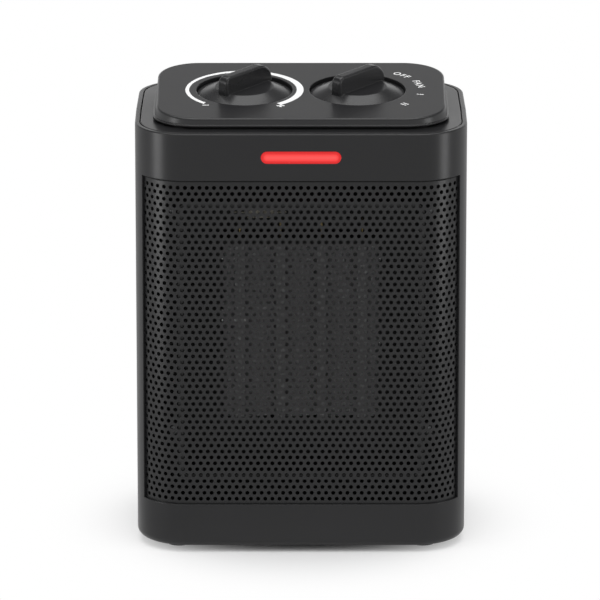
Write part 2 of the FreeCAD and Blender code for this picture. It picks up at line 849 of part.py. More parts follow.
def make_heating_block():
    """Aluminium tubes with ceramic stones inside, and corrugated fins between them."""
    low = axis_z - block_height / 2
    high = axis_z + block_height / 2
    tubes = []
    stones = []
    tabs = []
    for x in bar_places():
        outer = block(x - bar_width / 2, x + bar_width / 2, block_front, block_back, low, high)
        inner_half = bar_width / 2 - bar_wall
        tubes.append(outer.cut(block(
            x - inner_half, x + inner_half, block_front + bar_wall, block_back - bar_wall,
            low - 1, high + 1,
        )))
        stone_half = inner_half - contact_gap
        for i in range(stone_count):
            base = low + 1.0 + i * (stone_length + contact_gap)
            stones.append(block(
                x - stone_half, x + stone_half,
                block_front + bar_wall + contact_gap, block_back - bar_wall - contact_gap,
                base, base + stone_length,
            ))
        tab_low = low + 1.0 + stone_count * (stone_length + contact_gap)
        tabs.append(block(
            x - blade_thickness / 2, x + blade_thickness / 2,
            terminal_front(), terminal_front() + blade_width,
            tab_low, high + block_collar_wall + blade_length,
        ))
    add("ptc_tubes", Part.makeCompound(tubes))
    add("ptc_stones", Part.makeCompound(stones))
    add("heater_terminals", Part.makeCompound(tabs))
    bars = bar_places()
    edges = [-block_width / 2]
    for x in bars:
        edges += [x - bar_width / 2, x + bar_width / 2]
    edges.append(block_width / 2)
    gaps = [(edges[i], edges[i + 1]) for i in range(0, len(edges), 2)]
    add("heater_fins", Part.makeCompound([fin_stack(x0, x1, low, high) for x0, x1 in gaps]))


def fin_stack(x0, x1, low, high):
    """One corrugated strip, folded between two neighbouring tubes."""
    folds = int((high - low) / fin_pitch * 2)
    left = []
    right = []
    for i in range(folds + 1):
        x = x0 if i % 2 == 0 else x1 - fin_crest
        z = low + i * (high - low) / folds
        left.append(Vector(x, block_front, z))
        right.append(Vector(x + fin_crest, block_front, z))
    outline = left + right[::-1] + [left[0]]
    return Part.Face(Part.makePolygon(outline)).extrude(Vector(0, block_depth, 0))


def make_heater_guards():
    """Overheat cutoff and thermal fuse, both flat against the heater frame's plate."""
    z = (axis_z + block_height / 2 + block_collar_wall + duct_high - duct_wall) / 2
    x = bar_pitch
    cap = rod(x, z, cutoff_radius, heater_seat - cutoff_depth, heater_seat)
    tabs = [
        block(x + s * 4.0 - 1.5, x + s * 4.0 + 1.5, heater_seat - cutoff_depth - blade_length,
              heater_seat - cutoff_depth + 1, z - blade_thickness / 2, z + blade_thickness / 2)
        for s in (-1, 1)
    ]
    add("thermal_cutoff", fuse([cap] + tabs))
    half = fuse_size / 2
    case = block(-x - fuse_length / 2, -x + fuse_length / 2, heater_seat - fuse_size, heater_seat,
                 z - half, z + half)
    leads = [
        Part.makeCylinder(0.5, fuse_length / 2, Vector(-x + s * fuse_length / 2, heater_seat - half, z),
                          Vector(s, 0, 0))
        for s in (-1, 1)
    ]
    add("thermal_fuse", fuse([case] + leads))


# ---------------------------------------------------------------- fan
def make_shroud():
    """Plate across the casing, with the ring that the impeller runs in."""
    half = half_width - wall - slip_gap
    top = duct_high + shroud_top_margin
    plate = prism_y(
        rect(2 * half, top - floor_z, 3.0, 0, (top + floor_z) / 2), shroud_front, shroud_ring_front
    )
    ring = rod(0, axis_z, shroud_outer, shroud_front, mount_front)
    bosses = [rod(x, z, mount_boss_radius, shroud_ring_front, mount_front) for x, z in mount_places]
    tools = [rod(0, axis_z, shroud_bore, shroud_front - 1, mount_front + 1)]
    depth = shroud_ring_depth - 3.0
    for x, z in mount_places:
        tools.append(rod(x, z, screw_radius + screw_gap, mount_front - depth, mount_front + 1))
    for x, z in duct_screw_places():
        tools.append(rod(x, z, screw_radius + screw_gap, shroud_front - 1, shroud_ring_front + 1))
    for x, z in shell_boss_places:
        tools.append(rod(x, z, shell_boss_radius + 1 + slip_gap, shroud_front - 1, shroud_ring_front + 1))
    add("fan_shroud", cut(fuse([plate, ring] + bosses), tools))


def make_motor_mount():
    """Spider behind the impeller: a ring, four arms and a pad for the motor."""
    back = bracket_front
    ring = rod(0, axis_z, shroud_outer, mount_front, back)
    ring = ring.cut(rod(0, axis_z, shroud_bore - 2.0, mount_front - 1, back + 1))
    added = [ring, rod(0, axis_z, mount_pad_radius, mount_front, back)]
    reach = shroud_bore
    half = mount_arm_width / 2
    for turn in (45, 135, 225, 315):
        arm = block(0, reach, mount_front, back, -half, half)
        arm.rotate(Vector(0, 0, 0), Vector(0, 1, 0), -turn)
        arm.translate(Vector(0, 0, axis_z))
        added.append(arm)
    tools = [rod(0, axis_z, mount_hole_radius, mount_front - 1, back + 1)]
    for x, z in mount_places:
        added.append(rod(x, z, mount_boss_radius, mount_front, back))
        tools.append(rod(x, z, screw_radius + screw_gap, mount_front - 1, back + 1))
    for side in (-1, 1):
        tools.append(
            rod(side * motor_screw_x, axis_z, screw_radius + screw_gap, mount_front - 1, back + 1)
        )
    add("motor_mount", cut(fuse(added), tools))
    bite = mount_thickness + shroud_ring_depth / 2
    add("mount_screws", Part.makeCompound([screw_y(x, z, back, bite) for x, z in mount_places]))


def make_impeller():
    """Cup-shaped hub on a boss, with blades that flatten towards their tips."""
    front, back = impeller_front, impeller_back
    hub = rod(0, axis_z, impeller_hub_radius, front, back)
    inner = impeller_hub_radius - impeller_hub_wall
    hub = hub.cut(rod(0, axis_z, inner, front + impeller_hub_wall, back + 1))
    boss = rod(0, axis_z, impeller_boss_radius, front, back - impeller_hub_wall)
    sections = []
    middle = (front + back) / 2
    for radius, chord, pitch in (
        (impeller_hub_radius - impeller_hub_wall / 2, blade_root_chord, blade_root_pitch),
        (impeller_radius + blade_sheet, blade_tip_chord, blade_tip_pitch),
    ):
        section = rounded_loop(rect(blade_sheet, chord))
        section.rotate(Vector(0, 0, 0), Vector(0, 1, 0), 90)
        section.rotate(Vector(0, 0, 0), Vector(1, 0, 0), 90 - pitch)
        section.translate(Vector(radius, 0, 0))
        sections.append(section)
    blade = Part.makeLoft(sections, True, True)
    blade = blade.common(rod(0, 0, impeller_radius, -impeller_depth, impeller_depth))
    solids = [hub, boss]
    for i in range(blade_count):
        turned = blade.copy()
        turned.rotate(Vector(0, 0, 0), Vector(0, 1, 0), i * 360.0 / blade_count)
        turned.translate(Vector(0, middle, axis_z))
        solids.append(turned)
    bore = rod(0, axis_z, shaft_radius, front - 1, back + 1)
    core = rod(0, axis_z, inner, front + impeller_hub_wall, back + 1).cut(boss)
    add("impeller", fuse(solids).cut(core).cut(bore))


# ---------------------------------------------------------------- motor
def make_bearing_bracket(name, stator_face, away):
    """Bridge over one end of the stator, carrying a bearing in its middle."""
    def span(near, far):
        return sorted((stator_face + away * near, stator_face + away * far))

    spacer = bracket_spacer_length
    band_out = spacer + bracket_thickness
    half = stator_half_width - 1.0
    front, back = span(spacer, band_out)
    added = [
        block(-half, half, front, back, axis_z - bracket_height / 2, axis_z + bracket_height / 2),
        rod(0, axis_z, bracket_boss_radius, *span(band_out - bracket_boss_depth, band_out)),
    ]
    tools = [rod(0, axis_z, bearing_radius, *span(0, band_out + 1))]
    for side in (-1, 1):
        x = side * motor_screw_x
        added.append(rod(x, axis_z, bracket_spacer_radius, *span(0, band_out)))
        tools.append(rod(x, axis_z, screw_radius + screw_gap, *span(-1, band_out + 1)))
    add(name, cut(fuse(added), tools))
    seat = band_out - 0.5
    bush = rod(0, axis_z, bearing_radius, *span(seat - bearing_length, seat))
    return bush.cut(rod(0, axis_z, shaft_radius + running_gap, *span(0, band_out + 1)))


def make_motor():
    """Shaded-pole motor: stator loop, winding on its lower limb, rotor, shaft and bearings."""
    height = stator_top + stator_bottom
    centre_z = axis_z + (stator_top - stator_bottom) / 2
    core = prism_y(rect(2 * stator_half_width, height, 2.0, 0, centre_z), stator_front, stator_back)
    limb_top = axis_z - stator_bottom + stator_limb
    window_top = axis_z - stator_window_top
    window_half = stator_half_width - stator_limb
    tools = [
        rod(0, axis_z, rotor_radius + rotor_air_gap, stator_front - 1, stator_back + 1),
        block(-window_half, window_half, stator_front - 1, stator_back + 1, limb_top, window_top),
    ]
    for side in (-1, 1):
        tools.append(rod(side * motor_screw_x, axis_z, screw_radius + screw_gap,
                         stator_front - 1, stator_back + 1))
    add("stator_core", cut(core, tools))
    winding = block(
        -coil_half_length, coil_half_length, stator_front - coil_build, stator_back + coil_build,
        axis_z - stator_bottom - coil_build, limb_top + coil_build,
    )
    round_edges = [e for e in winding.Edges if e.BoundBox.XLength > coil_half_length]
    winding = winding.makeFillet(coil_build / 2, round_edges)
    add("stator_coil", winding.cut(block(
        -coil_half_length - 1, coil_half_length + 1, stator_front - contact_gap,
        stator_back + contact_gap, axis_z - stator_bottom - contact_gap, limb_top + contact_gap,
    )))
    bushes = [
        make_bearing_bracket("bearing_bracket_front", stator_front, -1),
        make_bearing_bracket("bearing_bracket_rear", stator_back, 1),
    ]
    add("bearings", Part.makeCompound(bushes))
    add("motor_shaft", rod(0, axis_z, shaft_radius, impeller_front, bracket_back + slip_gap))
    core = rod(0, axis_z, rotor_radius, stator_front + 0.5, stator_back - 0.5)
    add("rotor_core", core.cut(rod(0, axis_z, shaft_radius, stator_front, stator_back)))
    bite = bracket_back - mount_front
    add("motor_screws", Part.makeCompound(
        [screw_y(side * motor_screw_x, axis_z, bracket_back, bite) for side in (-1, 1)]
    ))


# ---------------------------------------------------------------- rear of the casing
def make_rear_fittings():
    """Slotted air inlet with its filter, the grip cup and the cord's inlet bush."""
    inner = rear_wall_y - slip_gap
    panel = prism_y(inlet_corners(0.0), inner, back_y)
    flange = prism_y(inlet_corners(inlet_flange), inner - flange_thickness, inner)
    span = inlet_size - 2 * inlet_border
    slot_width = (span - (inlet_slot_columns - 1) * inlet_rib) / inlet_slot_columns
    radius = inlet_slot_height / 2 - 0.001
    slots = []
    for row in range(inlet_slot_rows):
        z = axis_z + (row - (inlet_slot_rows - 1) / 2) * inlet_slot_pitch
        for column in range(inlet_slot_columns):
            x = (column - (inlet_slot_columns - 1) / 2) * (slot_width + inlet_rib)
            outline = rect(slot_width, inlet_slot_height, radius, x, z)
            slots.append(prism_y(outline, inner - flange_thickness - 1, back_y + 1))
    add("rear_grille", cut(fuse([panel, flange]), slots))
    filter_back = inner - flange_thickness
    add("inlet_filter", prism_y(inlet_corners(0.0), filter_back - filter_thickness, filter_back))
    cup_front = back_y - grip_depth
    cup = prism_y(grip_corners(0.0), cup_front, back_y)
    cup_flange = prism_y(grip_corners(inlet_flange), inner - flange_thickness, inner)
    hollow = prism_y(grip_corners(-grip_wall), cup_front + grip_wall, back_y + 1)
    add("grip_insert", fuse([cup, cup_flange]).cut(hollow))
    z = underside_z + bush_rise
    bush = fuse([
        rod(bush_x, z, bush_radius, inner, back_y),
        rod(bush_x, z, bush_radius + bush_flange, inner - flange_thickness, inner),
    ])
    add("cord_bush", bush.cut(rod(bush_x, z, bush_bore, inner - 2 * flange_thickness, back_y + 1)))


# ---------------------------------------------------------------- base
def make_feet():
    feet = []
    for x, y in foot_places:
        pad = post(x, y, foot_radius, 0, foot_height)
        feet.append(fuse([pad, post(x, y, foot_peg_radius, foot_height, floor_z)]))
    add("rubber_feet", Part.makeCompound(feet))


def make_tip_switch():
    """Button through the floor, sprung down, whose stem holds a switch closed from below."""
    x, y = tip_x, tip_y
    cavity_top = floor_z + tip_cavity_height
    housing_top = cavity_top + tip_ceiling
    half_w, half_d = tip_housing_width / 2, tip_housing_depth / 2
    housing = block(x - half_w, x + half_w, y - half_d, y + half_d, floor_z, housing_top)
    plate_front = y + micro_width / 2
    plate = block(x - half_w, x + half_w, plate_front, plate_front + tip_plate_thickness,
                  housing_top - 1, housing_top + tip_plate_height)
    tools = [
        post(x, y, tip_cavity_radius, floor_z - 1, cavity_top),
        post(x, y, tip_stem_radius + running_gap, cavity_top - 1, housing_top + 1),
    ]
    add("tip_switch_housing", cut(fuse([housing, plate]), tools))
    flange_low = floor_z + tip_travel + slip_gap
    flange_high = flange_low + tip_flange_thickness
    stem_top = housing_top + tip_stem_rise
    button = post(x, y, tip_button_radius, 0, flange_low)
    button = button.makeFillet(1.0, edges_at(button, 0))
    add("tip_plunger", fuse([
        button,
        post(x, y, tip_flange_radius, flange_low, flange_high),
        post(x, y, tip_stem_radius, flange_low, stem_top),
    ]))
    coil_low = flange_high + spring_wire / 2
    coil_height = cavity_top - flange_high - spring_wire
    helix = Part.makeHelix(coil_height / spring_turns, coil_height, spring_radius)
    corners = [
        Vector(spring_radius + spring_wire / 2 * math.cos(math.radians(turn)), 0,
               spring_wire / 2 * math.sin(math.radians(turn)))
        for turn in range(0, 361, 45)
    ]
    spring = helix.makePipeShell([Part.makePolygon(corners)], True, True)
    spring = Part.Solid(spring) if spring.ShapeType == "Shell" else spring
    spring.translate(Vector(x, y, coil_low))
    add("tip_spring", spring)
    micro_low = stem_top + slip_gap
    case_low = micro_low + micro_button
    case = block(x - micro_length / 2, x + micro_length / 2, plate_front - micro_width, plate_front,
                 case_low, case_low + micro_height)
    add("tip_microswitch", fuse([case, post(x, y, 1.2, micro_low, case_low + 1)]))


def make_terminal_block():
    """Mains terminals on the floor, near the cord's inlet."""
    length = block_terminals * terminal_pitch
    base = block(terminal_x - length / 2, terminal_x + length / 2, terminal_y - terminal_depth / 2,
                 terminal_y + terminal_depth / 2, floor_z, floor_z + terminal_height)
    tools = []
    for i in range(block_terminals):
        x = terminal_x + (i - (block_terminals - 1) / 2) * terminal_pitch
        tools.append(post(x, terminal_y, 2.5, floor_z + terminal_height - 3, floor_z + terminal_height + 1))
        tools.append(rod(x, floor_z + 4.0, 2.0, terminal_y - terminal_depth, terminal_y + terminal_depth))
    add("terminal_block", cut(base, tools))


# ---------------------------------------------------------------- all pieces
make_shells()
make_grille()
make_top_cover()
make_control_panel()
make_controls()
make_indicator()
make_duct()
make_heater_frame()
make_heating_block()
make_heater_guards()
make_shroud()
make_motor_mount()
make_impeller()
make_motor()
make_rear_fittings()
make_feet()
make_tip_switch()
make_terminal_block()

os.makedirs("parts", exist_ok=True)
for name, shape in pieces.items():
    shape.exportStep("parts/" + name + ".step")
    print(name, len(shape.Solids), "solids", round(shape.Volume / 1000, 2), "cm3",
          "valid" if shape.isValid() else "INVALID")
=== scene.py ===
import math

import bmesh
import bpy
from mathutils import Matrix, Vector


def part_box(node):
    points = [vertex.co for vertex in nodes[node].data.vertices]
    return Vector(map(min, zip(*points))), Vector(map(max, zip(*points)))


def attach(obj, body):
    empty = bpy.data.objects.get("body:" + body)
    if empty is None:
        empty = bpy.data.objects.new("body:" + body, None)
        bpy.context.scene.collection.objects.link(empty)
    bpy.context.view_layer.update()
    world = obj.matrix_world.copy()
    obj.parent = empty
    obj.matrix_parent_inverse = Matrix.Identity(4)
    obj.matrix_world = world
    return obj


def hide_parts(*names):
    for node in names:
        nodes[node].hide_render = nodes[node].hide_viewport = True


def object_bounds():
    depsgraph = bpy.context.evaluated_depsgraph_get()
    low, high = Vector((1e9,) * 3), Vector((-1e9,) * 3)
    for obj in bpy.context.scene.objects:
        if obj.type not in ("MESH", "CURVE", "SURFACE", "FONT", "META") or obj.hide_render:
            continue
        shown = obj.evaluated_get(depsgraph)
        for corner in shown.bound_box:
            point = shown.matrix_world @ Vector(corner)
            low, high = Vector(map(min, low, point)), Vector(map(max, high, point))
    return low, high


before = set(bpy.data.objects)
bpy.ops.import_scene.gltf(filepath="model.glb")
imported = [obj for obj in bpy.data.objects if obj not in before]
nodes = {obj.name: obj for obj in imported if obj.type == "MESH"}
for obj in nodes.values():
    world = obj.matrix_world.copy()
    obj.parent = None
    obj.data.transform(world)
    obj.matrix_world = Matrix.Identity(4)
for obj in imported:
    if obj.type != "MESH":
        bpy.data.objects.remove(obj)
cad_low, cad_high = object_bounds()
scene = bpy.context.scene
scene.view_settings.view_transform = "Standard"

# ---------------------------------------------------------------- camera
# A long lens on a tall stand, in front of the heater and looking a little down on its top.
# The aim is just below the middle of the casing.
camera_distance = 3.323
camera_pitch = math.radians(16.17)
camera_side = -0.00054
camera_aim_height = 0.12303
camera_sensor = 36.0
camera_lens = 371.8

camera_data = bpy.data.cameras.new("camera")
camera_data.sensor_width = camera_sensor
camera_data.lens = camera_lens
camera_data.clip_end = 100.0
camera = bpy.data.objects.new("camera", camera_data)
camera.location = (
    camera_side,
    -camera_distance * math.cos(camera_pitch),
    camera_aim_height + camera_distance * math.sin(camera_pitch),
)
camera.rotation_euler = (math.pi / 2 - camera_pitch, 0.0, 0.0)
scene.collection.objects.link(camera)
scene.camera = camera

# ---------------------------------------------------------------- studio
# A white sweep of paper under the heater, a wide soft box overhead, a tall strip box on
# each side and a weak fill over the camera.
floor_half = 6.0
floor_colour = (0.94, 0.94, 0.94)
floor_fade_start = 0.045
floor_fade_end = 0.145
mirrored_floor = 0.62       # the white floor's strength in a reflection
horizon_band = math.sin(math.radians(16.0))
horizon_blur = 0.14         # from full white to the upper sky
ambient_strength = 0.56
upper_sky_strength = 0.16


def new_material(name, colour, roughness, metallic=0.0):
    """Material with a Principled shader; returns it with its node tree and that shader."""
    material = bpy.data.materials.new(name)
    material.use_nodes = True
    tree = material.node_tree
    shader = tree.nodes["Principled BSDF"]
    shader.inputs["Base Color"].default_value = (*colour, 1.0)
    shader.inputs["Roughness"].default_value = roughness
    shader.inputs["Metallic"].default_value = metallic
    return material, tree, shader


def node_maker(tree):
    """Two short hands for a node tree: one adds a node and its inputs, one adds a sum."""
    def put(kind, settings=None, **sources):
        node = tree.nodes.new(kind)
        for key, value in (settings or {}).items():
            setattr(node, key, value)
        for key, source in sources.items():
            number = key[1:]
            socket = node.inputs[int(number) if number.isdigit() else key.replace("_", " ")]
            if isinstance(source, bpy.types.NodeSocket):
                tree.links.new(source, socket)
            else:
                socket.default_value = source
        return node

    def sum_of(operation, first, second=0.0, third=0.0):
        math_node = put("ShaderNodeMath", {"operation": operation}, i0=first, i1=second, i2=third)
        return math_node.outputs[0]

    return put, sum_of


def make_floor():
    """Matt paper round the heater; far off, and in a reflection, it is plain white."""
    material, tree, shader = new_material("studio_paper", floor_colour, 0.9)
    shader.inputs["Specular IOR Level"].default_value = 0.1
    put, sum_of = node_maker(tree)
    rays = put("ShaderNodeLightPath").outputs
    place = put("ShaderNodeTexCoord").outputs["Object"]
    length = put("ShaderNodeVectorMath", {"operation": "LENGTH"}, i0=place).outputs["Value"]
    fade = put("ShaderNodeMapRange", {"interpolation_type": "SMOOTHSTEP"}, Value=length,
               From_Min=floor_fade_start, From_Max=floor_fade_end)
    seen = sum_of("MAXIMUM", rays["Is Camera Ray"], rays["Is Glossy Ray"])
    glow = sum_of("MULTIPLY_ADD", rays["Is Camera Ray"], 1.0 - mirrored_floor, mirrored_floor)
    white = put("ShaderNodeEmission", Strength=glow)
    mix = put("ShaderNodeMixShader", Fac=sum_of("MULTIPLY", fade.outputs["Result"], seen),
              i1=shader.outputs["BSDF"], i2=white.outputs["Emission"])
    tree.links.new(mix.outputs["Shader"], tree.nodes["Material Output"].inputs["Surface"])
    mesh = bpy.data.meshes.new("floor")
    far = floor_half
    mesh.from_pydata(
        [(-far, -far, 0), (far, -far, 0), (far, far, 0), (-far, far, 0)], [], [(0, 1, 2, 3)]
    )
    mesh.materials.append(material)
    floor = bpy.data.objects.new("floor", mesh)
    scene.collection.objects.link(floor)


def make_sky():
    """White where the camera or a reflection sees it low down, dimmer above, grey as a lamp."""
    world = bpy.data.worlds.new("studio")
    scene.world = world
    world.use_nodes = True
    tree = world.node_tree
    put, sum_of = node_maker(tree)
    rays = put("ShaderNodeLightPath").outputs
    place = put("ShaderNodeTexCoord").outputs["Generated"]
    rise = put("ShaderNodeSeparateXYZ", Vector=place).outputs["Z"]
    band = put("ShaderNodeMapRange", Value=rise, From_Min=horizon_band,
               From_Max=horizon_band + horizon_blur, To_Min=1.0, To_Max=upper_sky_strength)
    mirrored = sum_of("MAXIMUM", rays["Is Glossy Ray"], rays["Is Transmission Ray"])
    strength = put("ShaderNodeMix", {"data_type": "FLOAT"}, i0=mirrored, i2=ambient_strength,
                   i3=band.outputs["Result"])
    background = tree.nodes["Background"]
    background.inputs["Color"].default_value = (1.0, 1.0, 1.0, 1.0)
    tree.links.new(sum_of("MAXIMUM", strength.outputs[0], rays["Is Camera Ray"]),
                   background.inputs["Strength"])


def soft_box(name, place, aim, width, height, radiance):
    """Rectangular lamp of an even brightness, turned towards the aim."""
    lamp_data = bpy.data.lights.new(name, "AREA")
    lamp_data.shape = "RECTANGLE"
    lamp_data.size = width
    lamp_data.size_y = height
    lamp_data.energy = radiance * math.pi * width * height
    lamp = bpy.data.objects.new(name, lamp_data)
    lamp.visible_camera = False
    lamp.location = place
    lamp.rotation_euler = (Vector(aim) - Vector(place)).to_track_quat("-Z", "Y").to_euler()
    scene.collection.objects.link(lamp)


middle = (cad_low + cad_high) / 2
make_floor()
make_sky()
# Each lamp's place, width, height and radiance.
lamps = {
    "overhead_box": ((0.0, 0.02, 1.5), 1.5, 1.5, 2.5),
    "left_strip": ((-0.52, -0.24, 0.14), 0.17, 0.44, 3.7),
    "right_strip": ((0.52, -0.24, 0.14), 0.16, 0.42, 2.9),
    "camera_fill": ((0.0, -1.6, 1.9), 1.2, 0.8, 0.5),
}
for name, (place, width, height, radiance) in lamps.items():
    soft_box(name, place, middle, width, height, radiance)


# ---------------------------------------------------------------- casing
# Two moulded halves of black polypropylene that meet at a fine parting line half way back.
# The mould was spark eroded, so every outer face has an even satin grain.
casing_colour = (0.0100, 0.0100, 0.0108)
casing_roughness = 0.30
grain_size = 2600.0
grain_height = 0.000012
cloud_size = 18.0
plastic_ior = 1.46
edge_round = 0.0007


def mould_grain_group():
    """Shader group: the fine height of a spark-eroded mould, and a slow cloudy mask."""
    group = bpy.data.node_groups.new("mould_grain", "ShaderNodeTree")
    sockets = {"Grain Scale": "INPUT", "Cloud Scale": "INPUT",
               "Height": "OUTPUT", "Clouds": "OUTPUT"}
    for name, way in sockets.items():
        group.interface.new_socket(name, in_out=way, socket_type="NodeSocketFloat")
    put = node_maker(group)[0]
    sizes = put("NodeGroupInput").outputs
    place = put("ShaderNodeTexCoord").outputs["Object"]
    grain = put("ShaderNodeTexNoise", Vector=place, Scale=sizes["Grain Scale"], Detail=3.0,
                Roughness=0.6)
    clouds = put("ShaderNodeTexNoise", Vector=place, Scale=sizes["Cloud Scale"], Detail=5.0)
    put("NodeGroupOutput", Height=grain.outputs["Fac"], Clouds=clouds.outputs["Fac"])
    return group


mould_grain = mould_grain_group()


def tinted(put, mask, colour, least, most):
    """The colour, which a mask varies between two shares of itself."""
    ends = [(*(min(1.0, share * c) for c in colour), 1.0) for share in (least, most)]
    return put("ShaderNodeMix", {"data_type": "RGBA"}, i0=mask, i6=ends[0], i7=ends[1]).outputs[2]


def moulded_plastic(name, colour, roughness, grain=1.0, spread=0.06, bevel=edge_round):
    """Satin moulded plastic: grain in its normal, clouds in its roughness, soft edges."""
    material, tree, shader = new_material(name, colour, roughness)
    shader.inputs["IOR"].default_value = plastic_ior
    put = node_maker(tree)[0]
    texture = put("ShaderNodeGroup", {"node_tree": mould_grain}, Grain_Scale=grain_size,
                  Cloud_Scale=cloud_size)
    clouds = texture.outputs["Clouds"]
    rough = put("ShaderNodeMapRange", Value=clouds, To_Min=roughness - spread,
                To_Max=roughness + spread)
    soft = put("ShaderNodeBevel", {"samples": 4}, Radius=bevel)
    bump = put("ShaderNodeBump", Strength=1.0, Distance=grain_height * grain,
               Height=texture.outputs["Height"], Normal=soft.outputs["Normal"])
    tree.links.new(rough.outputs["Result"], shader.inputs["Roughness"])
    tree.links.new(tinted(put, clouds, colour, 0.85, 1.2), shader.inputs["Base Color"])
    tree.links.new(bump.outputs["Normal"], shader.inputs["Normal"])
    return material


def paint(material, *names):
    """Gives CAD nodes a finish."""
    for name in names:
        slots = nodes[name].material_slots
        if not slots:
            nodes[name].data.materials.append(material)
        for slot in slots:
            slot.material = material


casing_plastic = moulded_plastic("casing_plastic", casing_colour, casing_roughness)
paint(casing_plastic, "front_shell", "rear_shell", "top_cover")

# ---------------------------------------------------------------- front grille
# Mild steel sheet, 0.8 mm, punched all over with round holes in staggered rows and bent round
# both front corners. It is powder coated dark grey and lies in a rebate behind its opening.
hole_pitch = 0.0038
hole_diameter = 0.0022
hole_reach = 0.0876         # furthest hole from the middle, along the sheet
hole_rows = 53
hole_rows_middle = 0.11515
sheet_thickness = 0.0008
sheet_bend_radius = 0.0252
sheet_bend_x = 0.0605
sheet_bend_y = -0.0315
sheet_rebate = 0.0027       # how far the sheet reaches behind its opening's edge
casing_corner = 0.027
sheet_wrap = math.radians(59.0) + sheet_rebate / casing_corner
sheet_low, sheet_high = (corner[2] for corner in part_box("front_grille"))
grille_top = sheet_high - sheet_rebate
# How far below the opening's top edge the painted shade of the band above reaches.
shade_band_height = 0.0014


def tree_inputs(tree, *names):
    """Adds a float input for each name; returns the group input node's sockets by name."""
    for name in names:
        tree.interface.new_socket(name, in_out="INPUT", socket_type="NodeSocketFloat")
    tree.interface.new_socket("Geometry", in_out="OUTPUT", socket_type="NodeSocketGeometry")
    return tree.nodes.new("NodeGroupInput").outputs


def grown(name, tree, sizes, material, mesh=None):
    """Runs a geometry tree on an object and returns its result as an object with a plain mesh."""
    holder = bpy.data.objects.new(name + "_tree", mesh or bpy.data.meshes.new(name + "_tree"))
    scene.collection.objects.link(holder)
    modifier = holder.modifiers.new("tree", "NODES")
    modifier.node_group = tree
    for item in tree.interface.items_tree:
        if item.in_out == "INPUT" and item.name in sizes:
            modifier[item.identifier] = sizes[item.name]
    bpy.context.view_layer.update()
    made = holder.evaluated_get(bpy.context.evaluated_depsgraph_get())
    result = bpy.data.meshes.new_from_object(made)
    result.name = name
    holder.modifiers.remove(modifier)
    bpy.data.objects.remove(holder)
    if not result.materials:
        result.materials.append(material)
    piece = bpy.data.objects.new(name, result)
    scene.collection.objects.link(piece)
    return piece


